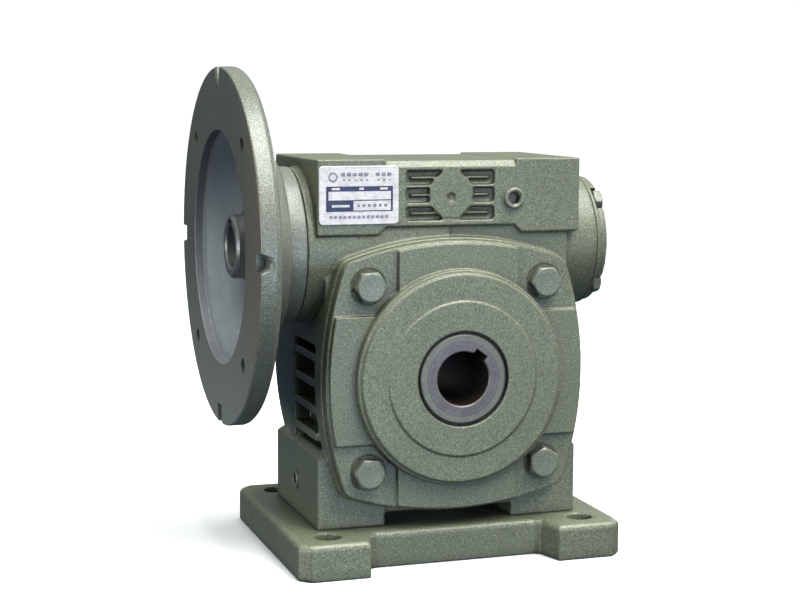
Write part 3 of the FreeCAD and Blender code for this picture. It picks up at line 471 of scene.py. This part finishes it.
def plate_print(name, dark, pale, metallic, roughness):
    """The nameplate's satin sheet or its ink, with fine brushing and small scuffs."""
    finish = Finish(name, pale, roughness, metallic=metallic)
    long_way = finish.node("ShaderNodeMapping", (("Vector", finish.place), ("Scale", (0.12, 1, 1))))
    brushing = finish.noise(1800, 3, 0.6, long_way.outputs[0])
    scuffs = finish.noise(260, 4, 0.65)
    tone = finish.ramp(brushing, (0.3, dark), (0.7, pale))
    tone = finish.mix(finish.ramp(scuffs, (0.36, 0.5), (0.56, 0.0)), tone, dimmer(dark, 0.72))
    finish.bump(brushing, 0.2, 0.00005)
    return finish.done(tone, finish.ramp(scuffs, (0.3, roughness + 0.12), (0.7, roughness)))


def sleeve_steel(name, dark, pale, metallic=0.3):
    """Turned steel about the output's axis."""
    return turned_steel(name, "Y", (0, 0, 0), dark, pale, metallic)


FINISHES = {
    "casting": enamel("casting_enamel"),
    "retainer": enamel(
        "retainer_enamel", (0.090, 0.101, 0.080), (0.160, 0.175, 0.140), (0.34, 0.36, 0.30), 0.8),
    "fastener": enamel(
        "fastener_enamel", (0.082, 0.094, 0.064), (0.128, 0.143, 0.101), relief=0.5, gloss=0.34),
    "flange": enamel("flange_enamel", (0.080, 0.088, 0.066), (0.132, 0.143, 0.112), gloss=0.28),
    "flange_face": flange_face(),
    "flange_bowl": flange_bowl(),
    "sleeve": sleeve_steel("sleeve_steel", (0.072, 0.065, 0.067), (0.134, 0.121, 0.124)),
    "sleeve_edge": sleeve_steel("sleeve_edge_steel", (0.098, 0.105, 0.082), (0.165, 0.173, 0.140)),
    "bore_edge": sleeve_steel("bore_edge_steel", (0.09, 0.072, 0.062), (0.17, 0.14, 0.125)),
    "bore": sleeve_steel("bore_steel", (0.030, 0.024, 0.020), (0.085, 0.070, 0.058), 0.8),
    "worm": turned_steel(
        "worm_steel", "X", (0, 0, WORM_HEIGHT * MM), (0.11, 0.115, 0.105), (0.22, 0.225, 0.21), 0.7),
    "bearing": simple_metal("bearing_steel", (0.45, 0.45, 0.46), (0.62, 0.62, 0.63), 0.2),
    "bronze": simple_metal("wheel_bronze", (0.42, 0.25, 0.09), (0.62, 0.40, 0.16), 0.3),
    "iron": simple_metal("bare_cast_iron", (0.10, 0.10, 0.10), (0.20, 0.19, 0.19), 0.6, 0.7),
    "black": simple_metal(
        "blackened_steel", (0.02, 0.02, 0.022), (0.05, 0.05, 0.052), 0.4, 0.7, 300),
    "plate": plate_print("nameplate_sheet", (0.50, 0.468, 0.460), (0.66, 0.618, 0.590), 0.15, 0.38),
    "ink": plate_print("nameplate_ink", (0.012, 0.014, 0.055), (0.022, 0.026, 0.095), 0.0, 0.42),
    "grey_ink": plate_print("nameplate_grey_ink", (0.16, 0.15, 0.19), (0.27, 0.26, 0.31), 0.0, 0.45),
    "rubber": seal_rubber(),
    "gasket": gasket_fibre(),
}

NODE_FINISHES = {
    "casting_paint": "casting",
    "flange_paint": "flange_bowl",
    "retainer_paint": "retainer",
    "painted_fasteners": "fastener",
    "black_screws": "black",
    "machined_steel": "worm",
    "bearing_steel": "bearing",
    "bare_cast_iron": "iron",
    "wheel_bronze": "bronze",
    "seal_rubber": "rubber",
    "gasket_fibre": "gasket",
    "nameplate_metal": "plate",
}


def dress_frame():
    """Gives every CAD node the procedural finish of its material slot."""
    for name, thing in frame["nodes"].items():
        material = FINISHES[NODE_FINISHES[SLOTS[name]]]
        for holder in thing.material_slots:
            holder.link = "OBJECT"
            holder.material = material


# ---------------------------------------------------------------- mesh tools

# A face whose normal lies along an axis to within this cosine is shaded flat.
FLAT = 0.99995


def add_piece(name, mesh, node, body, *finishes):
    """A finished piece that stands for a CAD node and rides on its body."""
    coat(mesh, finishes)
    mesh.shade_smooth()
    for face in mesh.polygons:
        if max(abs(part) for part in face.normal) > FLAT:
            face.use_smooth = False
    piece = bpy.data.objects.new(name, mesh)
    bpy.context.scene.collection.objects.link(piece)
    piece.modifiers.new("normals", "WEIGHTED_NORMAL").keep_sharp = True
    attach(piece, body)
    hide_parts(node)


def settled(holder):
    """The mesh of a temporary object with its modifiers applied; the object is removed."""
    bpy.context.view_layer.update()
    graph = bpy.context.evaluated_depsgraph_get()
    mesh = bpy.data.meshes.new_from_object(holder.evaluated_get(graph))
    bpy.data.objects.remove(holder)
    return mesh


def held(name, mesh):
    """A temporary object for a mesh."""
    holder = bpy.data.objects.new(name, mesh)
    bpy.context.scene.collection.objects.link(holder)
    return holder


def mesh_from(name, work):
    """A mesh out of a bmesh, with its faces turned outwards."""
    bmesh.ops.recalc_face_normals(work, faces=work.faces)
    mesh = bpy.data.meshes.new(name)
    work.to_mesh(mesh)
    work.free()
    return mesh


WELD_M = 0.00001
FACE_LIMIT = 170000


def cast(node, voxel, soften):
    """A housing part with the softly rounded edges of a sand casting.

    The CAD node's mesh is rebuilt in voxels of the given size and smoothed soften times."""
    work = bmesh.new()
    work.from_mesh(frame["nodes"][node].data)
    bmesh.ops.remove_doubles(work, verts=work.verts, dist=WELD_M)
    holder = held(f"{node}_rough", mesh_from(f"{node}_rough", work))
    remesh = holder.modifiers.new("remesh", "REMESH")
    remesh.mode = "VOXEL"
    remesh.voxel_size = voxel * MM * 1
    smooth = holder.modifiers.new("smooth", "SMOOTH")
    smooth.factor = 0.5
    smooth.iterations = soften
    mesh = settled(holder)
    triangles = 2 * len(mesh.polygons)
    if triangles > FACE_LIMIT:
        holder = held(f"{node}_fine", mesh)
        holder.modifiers.new("decimate", "DECIMATE").ratio = FACE_LIMIT / triangles
        mesh = settled(holder)
    add_piece(f"{node}_cast", mesh, node, "housing", NODE_FINISHES[SLOTS[node]])


CORNER_STEPS = 5
CORNER_SHARE = 0.45


def softened(outline):
    """A closed outline of (along, radius, corner radius, band) with its corners rounded.

    The band is the finish of the surface from each corner to the next. A corner takes up no more
    than CORNER_SHARE of the edges beside it."""
    points = []
    count = len(outline)
    for index, (along, radius, corner, band) in enumerate(outline):
        here = Vector((along, radius))
        before = Vector(outline[index - 1][:2])
        after = Vector(outline[(index + 1) % count][:2])
        last_band = outline[index - 1][3]
        if corner == 0:
            points.append((here, band))
            continue
        to_before, to_after = (before - here), (after - here)
        reach = min(corner, CORNER_SHARE * to_before.length, CORNER_SHARE * to_after.length)
        first = here + to_before.normalized() * reach
        last = here + to_after.normalized() * reach
        for step in range(CORNER_STEPS + 1):
            share = step / CORNER_STEPS
            point = first * (1 - share) ** 2 + here * 2 * share * (1 - share) + last * share ** 2
            points.append((point, band if step == CORNER_STEPS else last_band))
    return points


def along_x(across, up, level):
    """The point at X = level that lies across and up from the worm's axis."""
    return level, across, up + WORM_HEIGHT


def lathe(name, axis, outline, sides=160):
    """A ring turned from a closed outline about the worm's axis, X, or the output's axis, Y."""
    work = bmesh.new()
    points = softened(outline)
    rings = []
    for point, band in points:
        ring = []
        for side in range(sides):
            turn = 2 * math.pi * side / sides
            across, up = point.y * math.sin(turn), point.y * math.cos(turn)
            spot = along_x(across, up, point.x) if axis == "X" else (across, point.x, up)
            ring.append(work.verts.new(Vector(spot) * MM))
        rings.append(ring)
    for index, (point, band) in enumerate(points):
        ring, other = rings[index], rings[(index + 1) % len(rings)]
        for side in range(sides):
            nearby = (side + 1) % sides
            face = work.faces.new((ring[side], ring[nearby], other[nearby], other[side]))
            face.material_index = band
    return mesh_from(name, work)


def coat(mesh, finishes):
    """Gives a mesh its finishes, in the order of its bands."""
    if not mesh.materials:
        for finish in finishes:
            mesh.materials.append(FINISHES[finish])


def carved(mesh, cutters, finishes):
    """The mesh with every cutter's mesh taken away; the cut faces keep the cutters' bands."""
    for part in (mesh, *cutters):
        coat(part, finishes)
    holder = held("carving", mesh)
    tools = [held(f"cutter_{index}", cutter) for index, cutter in enumerate(cutters)]
    for tool in tools:
        boolean = holder.modifiers.new("carve", "BOOLEAN")
        boolean.object = tool
        boolean.solver = "EXACT"
    result = settled(holder)
    for tool in tools:
        bpy.data.objects.remove(tool)
    return result


def prism(name, corners, low, high, place, band=0):
    """A prism: the corners' two coordinates and a third, put in place by a function."""
    work = bmesh.new()
    ends = []
    for level in (low, high):
        ends.append([work.verts.new(Vector(place(a, b, level)) * MM) for a, b in corners])
    work.faces.new(ends[0])
    work.faces.new(ends[1][::-1])
    for index in range(len(corners)):
        nearby = (index + 1) % len(corners)
        work.faces.new((ends[0][index], ends[0][nearby], ends[1][nearby], ends[1][index]))
    for face in work.faces:
        face.material_index = band
    return mesh_from(name, work)


def box_corners(left, right, bottom, top):
    """Corners of a rectangle."""
    return [(left, bottom), (right, bottom), (right, top), (left, top)]


def circle(radius, sides=32, turn=0.0):
    """Corners of a regular polygon in a circle."""
    angles = [math.radians(turn) + 2 * math.pi * side / sides for side in range(sides)]
    return [(radius * math.cos(angle), radius * math.sin(angle)) for angle in angles]


def joined(name, meshes):
    """One mesh out of several separate shells."""
    work = bmesh.new()
    for mesh in meshes:
        work.from_mesh(mesh)
    whole = bpy.data.meshes.new(name)
    work.to_mesh(whole)
    work.free()
    return whole


HEAD_SIDES = 60
HEAD_CHAMFER = 28
HEAD_GAP = 0.01


def bolt(across_flats, height, shank_radius, shank_length, turn, place):
    """A hexagon bolt: place(across, up, out) puts it; out is 0 under the head and grows outwards."""
    half = across_flats / 2
    chamfer_start = 0.93 * half
    slope = math.tan(math.radians(HEAD_CHAMFER))

    def reach(angle):
        """The hexagon's radius at an angle."""
        return half / math.cos((angle + math.pi / 6) % (math.pi / 3) - math.pi / 6)

    def shoulder(radius):
        """The height of the head's chamfer at a radius."""
        return height - max(0.0, radius - chamfer_start) * slope

    def ring_at(rule):
        """A ring of corners; the rule gives the radius and the height at each angle."""
        ring = []
        for side in range(HEAD_SIDES):
            angle = 2 * math.pi * side / HEAD_SIDES
            radius, out = rule(angle)
            spun = angle + math.radians(turn)
            spot = place(radius * math.cos(spun), radius * math.sin(spun), out)
            ring.append(work.verts.new(Vector(spot) * MM))
        return ring

    work = bmesh.new()
    rules = [
        lambda angle: (shank_radius, -shank_length),
        lambda angle: (shank_radius, -HEAD_GAP),
        lambda angle: (0.96 * half, -HEAD_GAP),
        lambda angle: (0.96 * half, 0.35),
        lambda angle: (reach(angle) - 0.12, 0.35),
        lambda angle: (reach(angle), 0.5),
        lambda angle: (reach(angle), shoulder(reach(angle)) - 0.3),
        lambda angle: (reach(angle) - 0.18, shoulder(reach(angle)) - 0.05),
        lambda angle: (chamfer_start + 0.15, height - 0.1),
        lambda angle: (chamfer_start - 0.35, height),
        lambda angle: (0.55 * half, height - 0.12),
        lambda angle: (0.1, height - 0.18),
    ]
    rings = [ring_at(rule) for rule in rules]
    for ring, other in zip(rings, rings[1:]):
        for side in range(HEAD_SIDES):
            nearby = (side + 1) % HEAD_SIDES
            work.faces.new((ring[side], ring[nearby], other[nearby], other[side]))
    work.faces.new(rings[0])
    work.faces.new(rings[-1])
    return mesh_from("bolt", work)


# ---------------------------------------------------------------- castings

cast("housing", 0.7, 3)
cast("front_cover", 0.45, 2)
cast("rear_cover", 0.6, 2)
cast("base_plate", 0.75, 3)
cast("end_cover", 0.5, 3)


# ---------------------------------------------------------------- motor flange and retainer

FLANGE_FACE, FLANGE_BACK = limits("motor_flange", "X")
FLANGE_RADIUS = limits("motor_flange", "Z")[1] - WORM_HEIGHT
FLANGE_BOLT_CIRCLE = 82.5
FLANGE_HOLE_RADIUS = 4.25
NOTCH_RADIUS = 5
NOTCH_LENGTH = 11
ENAMELLED, TURNED, SMOOTH = 0, 1, 2


def flange_point(radius, angle):
    """Across and up from the worm's axis, at an angle from the top."""
    return radius * math.sin(math.radians(angle)), radius * math.cos(math.radians(angle))


def shifted(corners, spot):
    """Corners moved by a spot."""
    return [(a + spot[0], b + spot[1]) for a, b in corners]


def radial(angle):
    """Puts a prism along a radius of the flange: corners are (X, across), the length is radial."""
    turn = math.radians(angle)

    def place(x, across, radius):
        sideways = across * math.cos(turn) + radius * math.sin(turn)
        up = radius * math.cos(turn) - across * math.sin(turn)
        return x, sideways, up + WORM_HEIGHT
    return place


def build_flange():
    """The motor flange: a rounded rim, a turned face, a spigot step and a smooth bowl.

    Paint covers the screws sunk in the bowl's floor, so the floor stands a little above them."""
    face, back, rim = FLANGE_FACE, FLANGE_BACK, FLANGE_RADIUS
    disc = lathe("motor_flange", "X", [
        (face, 65, 0.6, TURNED),
        (face, rim - 0.8, 0.8, ENAMELLED),
        (face + 0.8, rim, 1.0, ENAMELLED),
        (face + 9.5, rim, 3.5, ENAMELLED),
        (face + 12, rim - 2.5, 3.0, ENAMELLED),
        (face + 12, 58.5, 5.0, ENAMELLED),
        (back, 52, 2.0, ENAMELLED),
        (back, 20.7, 0, SMOOTH),
        (face + 15.9, 20.7, 0.6, SMOOTH),
        (face + 15.9, 46, 9.0, SMOOTH),
        (face + 10, 54.5, 7.0, SMOOTH),
        (face + 5, 60.5, 2.0, SMOOTH),
        (face + 5, 65, 0.5, SMOOTH),
    ], 224)
    cutters = []
    for angle in (45, 135, 225, 315):
        spot = flange_point(FLANGE_BOLT_CIRCLE, angle)
        hole = shifted(circle(FLANGE_HOLE_RADIUS), spot)
        cutters.append(prism("hole", hole, face - 1, face + 13, along_x))
    for angle in (0, 90, 180, 270):
        groove = shifted(circle(NOTCH_RADIUS, 40), (face, 0))
        cutters.append(prism("notch", groove, rim - NOTCH_LENGTH, rim + 2, radial(angle)))
    finishes = ("flange", "flange_face", "flange_bowl")
    mesh = carved(disc, cutters, finishes)
    add_piece("motor_flange_painted", mesh, "motor_flange", "housing", *finishes)


RETAINER_FLANGE = -82.5
RETAINER_POCKET = -85.5


def build_retainer():
    """The retainer ring behind the flange, with a rounded front edge."""
    low, high = limits("bearing_retainer", "X")
    rim = limits("bearing_retainer", "Z")[1] - WORM_HEIGHT
    mesh = lathe("bearing_retainer", "X", [
        (RETAINER_FLANGE, 34, 0, 0),
        (RETAINER_FLANGE, rim, 0.8, 0),
        (low + 0.4, rim, 0.8, 0),
        (low + 0.4, rim - 1.2, 0.2, 0),
        (low, rim - 1.6, 0.2, 0),
        (low, 31, 0, 0),
        (RETAINER_POCKET, 31, 0, 0),
        (RETAINER_POCKET, 28, 0, 0),
        (high, 30, 0, 0),
        (high, 33.95, 0, 0),
    ])
    add_piece("bearing_retainer_painted", mesh, "bearing_retainer", "housing", "retainer")


build_flange()
build_retainer()


# ---------------------------------------------------------------- output shaft

BORE_RADIUS = 15
SLEEVE_RADIUS = 25
COLLAR_RADIUS = 27.45
COLLAR_HALF = 20
KEYWAY_ANGLE = 37
KEYWAY_HALF = 3.9
KEYWAY_TOP = 18.1
WHEEL_SLOT_HALF = 4.05
WHEEL_SLOT_FLOOR = 23.95
WHEEL_SLOT_REACH = 18.1
END, EDGE, BORE, CHAMFER = 0, 1, 2, 3


def along_y(a, b, y):
    """A point of a prism that runs along the output's axis."""
    return a, y, b


def build_sleeve():
    """The hollow output shaft: dull turned ends with a bright chamfer, and a dark keyed bore."""
    end = limits("hollow_shaft", "Y")[1]
    bore, sleeve = BORE_RADIUS, SLEEVE_RADIUS
    tube = lathe("hollow_shaft", "Y", [
        (-end, bore + 0.7, 0.2, END),
        (-end, 21.2, 0, EDGE),
        (-end, sleeve - 0.7, 0.25, EDGE),
        (-end + 0.8, sleeve, 0.2, END),
        (-COLLAR_HALF, sleeve, 0.2, END),
        (-COLLAR_HALF, COLLAR_RADIUS, 0.2, END),
        (COLLAR_HALF, COLLAR_RADIUS, 0.2, END),
        (COLLAR_HALF, sleeve, 0.2, END),
        (end - 0.8, sleeve, 0.2, EDGE),
        (end, sleeve - 0.7, 0.25, EDGE),
        (end, 21.2, 0, END),
        (end, bore + 0.7, 0.2, CHAMFER),
        (end - 0.7, bore, 0.2, BORE),
        (-end + 0.7, bore, 0.2, CHAMFER),
    ])
    sine, cosine = math.sin(math.radians(KEYWAY_ANGLE)), math.cos(math.radians(KEYWAY_ANGLE))
    slot = box_corners(-KEYWAY_HALF, KEYWAY_HALF, 5, KEYWAY_TOP)
    slot = [(a * cosine + b * sine, b * cosine - a * sine) for a, b in slot]
    keyway = prism("keyway", slot, -end - 1, end + 1, along_y, BORE)
    seat = box_corners(-WHEEL_SLOT_HALF, WHEEL_SLOT_HALF, WHEEL_SLOT_FLOOR, 30)
    wheel_slot = prism("wheel_slot", seat, -WHEEL_SLOT_REACH, WHEEL_SLOT_REACH, along_y)
    finishes = ("sleeve", "sleeve_edge", "bore", "bore_edge")
    mesh = carved(tube, [keyway, wheel_slot], finishes)
    add_piece("hollow_shaft_turned", mesh, "hollow_shaft", "output", *finishes)


build_sleeve()


# ---------------------------------------------------------------- bolts and plugs

def bolt_set(node, put, spots, turns, size, shank_length):
    """All the bolts of one group, each turned its own way.

    The size is (across flats, head height, shank radius); put(spot) gives each bolt's place."""
    across_flats, height, shank_radius = size
    shells = []
    for spot, turn in zip(spots, turns):
        shells.append(bolt(across_flats, height, shank_radius, shank_length, turn, put(spot)))
    add_piece(f"{node}_painted", joined(node, shells), node, "housing", "fastener")


# Across flats, head height and shank radius.
M10 = (16, 6.4, 5)
M8 = (13, 5.3, 4)

COVER_OFFSET = 51.5
COVER_SPOTS = [(x, z) for x in (-COVER_OFFSET, COVER_OFFSET) for z in (-COVER_OFFSET, COVER_OFFSET)]
COVER_TURNS = (25, 33, 0, 30)
UNDER_COVER_HEAD = -limits("front_cover_bolts", "Y")[0] - M10[1]
COVER_SHANK = 18.5

END_OFFSET = 23
END_SPOTS = [(y, z) for y in (-END_OFFSET, END_OFFSET) for z in (-END_OFFSET, END_OFFSET)]
END_TURNS = (10, 24, 41, 5)
UNDER_END_HEAD = limits("end_cover_bolts", "X")[1] - M8[1]
END_SHANK = 16.5


def on_cover(side):
    """Puts a cover bolt on the front (-1) or the rear (+1)."""
    def put(spot):
        return lambda a, b, out: (spot[0] + a, side * (UNDER_COVER_HEAD + out), spot[1] + b)
    return put


def on_end(spot):
    """Puts a bolt on the end cover."""
    return lambda a, b, out: along_x(spot[0] + a, spot[1] + b, UNDER_END_HEAD + out)


bolt_set("front_cover_bolts", on_cover(-1), COVER_SPOTS, COVER_TURNS, M10, COVER_SHANK)
bolt_set("rear_cover_bolts", on_cover(1), COVER_SPOTS, COVER_TURNS, M10, COVER_SHANK)
bolt_set("end_cover_bolts", on_end, END_SPOTS, END_TURNS, M8, END_SHANK)


PLUG_SIDES = 48
PLUG_HEAD = 2.0
PLUG_RIM = 6.2
PLUG_SHANK = 4.95
SOCKET_CORNER = 3.46
SOCKET_TURN = 12


def socket_plug(node, axis):
    """A domed plug with a hexagon socket, facing -Y or -X where the CAD node stands."""
    low, high = (Vector(corner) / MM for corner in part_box(node))
    middle = (low + high) / 2
    index = "XYZ".index(axis)
    face, shank_end = -low[index], -high[index]

    def place(a, b, out):
        """Across, up and outwards from the plug's axis."""
        if axis == "Y":
            return middle.x + a, -out, middle.z + b
        return -out, middle.y + a, middle.z + b

    under = face - PLUG_HEAD
    profile = [
        (0.4, face - 1.0),
        (3.6, face - 0.9),
        (4.2, face - 0.1),
        (4.8, face),
        (5.5, face - 0.15),
        (PLUG_RIM - 0.1, face - 0.8),
        (PLUG_RIM, under + 0.25),
        (PLUG_RIM - 0.2, under),
        (PLUG_SHANK, under),
        (PLUG_SHANK, shank_end),
    ]
    work = bmesh.new()
    rings = []
    for radius, out in profile:
        corners = circle(radius, PLUG_SIDES)
        rings.append([work.verts.new(Vector(place(a, b, out)) * MM) for a, b in corners])
    for ring, other in zip(rings, rings[1:]):
        for side in range(PLUG_SIDES):
            nearby = (side + 1) % PLUG_SIDES
            work.faces.new((ring[side], ring[nearby], other[nearby], other[side]))
    work.faces.new(rings[0])
    work.faces.new(rings[-1])
    blank = mesh_from(node, work)
    socket = prism("socket", circle(SOCKET_CORNER, 6, SOCKET_TURN), face - 4.5, face + 1, place)
    mesh = carved(blank, [socket], ("fastener",))
    add_piece(f"{node}_socketed", mesh, node, "housing", "fastener")


socket_plug("level_plug", "Y")
socket_plug("drain_plug", "X")


# ---------------------------------------------------------------- nameplate

PLATE_LEFT, PLATE_RIGHT = limits("nameplate", "X")
PLATE_BOTTOM, PLATE_TOP = limits("nameplate", "Z")
PLATE_FACE, PLATE_BACK = limits("nameplate", "Y")
PLATE_CORNER = 2.5
BEND_STEPS = 8
SHEET, NAVY, GREY = 0, 1, 2
PRINT_THICKNESS = 0.05
PRINT_BACK = PLATE_FACE + 2 * PRINT_THICKNESS
LIFT = 0.02


def plate_point(across, down):
    """A point of the plate, in shares of its width and height from the top left."""
    x = PLATE_LEFT + across * (PLATE_RIGHT - PLATE_LEFT)
    return x, PLATE_TOP - down * (PLATE_TOP - PLATE_BOTTOM)


def plate_outline(inset):
    """The plate's outline, drawn in by an inset."""
    points = []
    reach = PLATE_CORNER - inset
    bends = (
        (PLATE_RIGHT - PLATE_CORNER, PLATE_TOP - PLATE_CORNER, 0),
        (PLATE_LEFT + PLATE_CORNER, PLATE_TOP - PLATE_CORNER, 90),
        (PLATE_LEFT + PLATE_CORNER, PLATE_BOTTOM + PLATE_CORNER, 180),
        (PLATE_RIGHT - PLATE_CORNER, PLATE_BOTTOM + PLATE_CORNER, 270),
    )
    for x, z, start in bends:
        for step in range(BEND_STEPS + 1):
            angle = math.radians(start + 90 * step / BEND_STEPS)
            points.append((x + reach * math.cos(angle), z + reach * math.sin(angle)))
    return points


def printed(left, right, top, bottom, band):
    """A printed bar, placed in shares of the plate from its top left."""
    x0, z0 = plate_point(left, bottom)
    x1, z1 = plate_point(right, top)
    return prism("bar", box_corners(x0, x1, z0, z1), PLATE_FACE, PRINT_BACK, along_y, band)


def left_clear(left, right, top, bottom):
    """A pale mark left in the ink; it stands a hair in front of the ink."""
    mesh = printed(left, right, top, bottom, SHEET)
    mesh.transform(Matrix.Translation((0, -LIFT * MM, 0)))
    return mesh


def print_ring(middle, outer, inner, band, sides=40):
    """A printed ring about a point of the plate."""
    work = bmesh.new()
    loops = []
    corners = ((PLATE_FACE, outer), (PLATE_FACE, inner), (PRINT_BACK, inner), (PRINT_BACK, outer))
    for y, radius in corners:
        loop = shifted(circle(radius, sides), plate_point(*middle))
        loops.append([work.verts.new(Vector((a, y, b)) * MM) for a, b in loop])
    for index, loop in enumerate(loops):
        other = loops[(index + 1) % len(loops)]
        for side in range(sides):
            nearby = (side + 1) % sides
            face = work.faces.new((loop[side], loop[nearby], other[nearby], other[side]))
            face.material_index = band
    return mesh_from("ring", work)


def build_sheet():
    """The plate itself, with a raised rim round a slightly sunk middle."""
    front = PLATE_FACE + PRINT_THICKNESS
    layers = (
        (PLATE_BACK, 0.0),
        (front + 0.35, 0.0),
        (front + 0.1, 0.08),
        (front, 0.3),
        (front, 0.75),
        (front + 0.04, 1.0),
    )
    work = bmesh.new()
    rings = []
    for y, inset in layers:
        outline = plate_outline(inset)
        rings.append([work.verts.new(Vector((x, y, z)) * MM) for x, z in outline])
    for ring, other in zip(rings, rings[1:]):
        for side in range(len(ring)):
            nearby = (side + 1) % len(ring)
            work.faces.new((ring[side], ring[nearby], other[nearby], other[side]))
    work.faces.new(rings[0])
    work.faces.new(rings[-1])
    return mesh_from("sheet", work)


# Each is (left, right, top, bottom) in shares of the plate from its top left.
TABLE = (
    (0.090, 0.925, 0.345, 0.430),
    (0.090, 0.118, 0.430, 0.775),
    (0.900, 0.925, 0.430, 0.775),
    (0.118, 0.430, 0.580, 0.775),
    (0.430, 0.900, 0.575, 0.592),
    (0.430, 0.900, 0.758, 0.775),
)
CLEAR_MARKS = (
    (0.16, 0.26, 0.37, 0.405),
    (0.50, 0.56, 0.37, 0.405),
    (0.76, 0.86, 0.37, 0.405),
    (0.16, 0.38, 0.66, 0.70),
)
# Rows of dashes: the first one's left, the pitch, the dash's width, top, bottom and how many.
DASH_ROWS = (
    (0.275, 0.072, 0.052, 0.115, 0.175, 9),
    (0.295, 0.072, 0.030, 0.225, 0.255, 9),
    (0.475, 0.068, 0.036, 0.650, 0.700, 6),
    (0.130, 0.058, 0.040, 0.845, 0.895, 13),
)
HEADING_ROWS = 2
WORD_GAP = 5


def build_nameplate():
    """A plain data plate: a ring mark, rows of dashes and a framed table with nothing to read."""
    shells = [build_sheet(), print_ring((0.175, 0.19), 2.7, 1.7, GREY)]
    shells += [printed(*bar, NAVY) for bar in TABLE]
    for row, (first, pitch, width, top, bottom, count) in enumerate(DASH_ROWS):
        for index in range(count):
            if row >= HEADING_ROWS or index != WORD_GAP:
                left = first + pitch * index
                shells.append(printed(left, left + width, top, bottom, GREY))
    shells += [left_clear(*mark) for mark in CLEAR_MARKS]
    finishes = ("plate", "ink", "grey_ink")
    add_piece("nameplate_printed", joined("nameplate", shells), "nameplate", "housing", *finishes)


build_nameplate()
dress_frame()
add_studio()
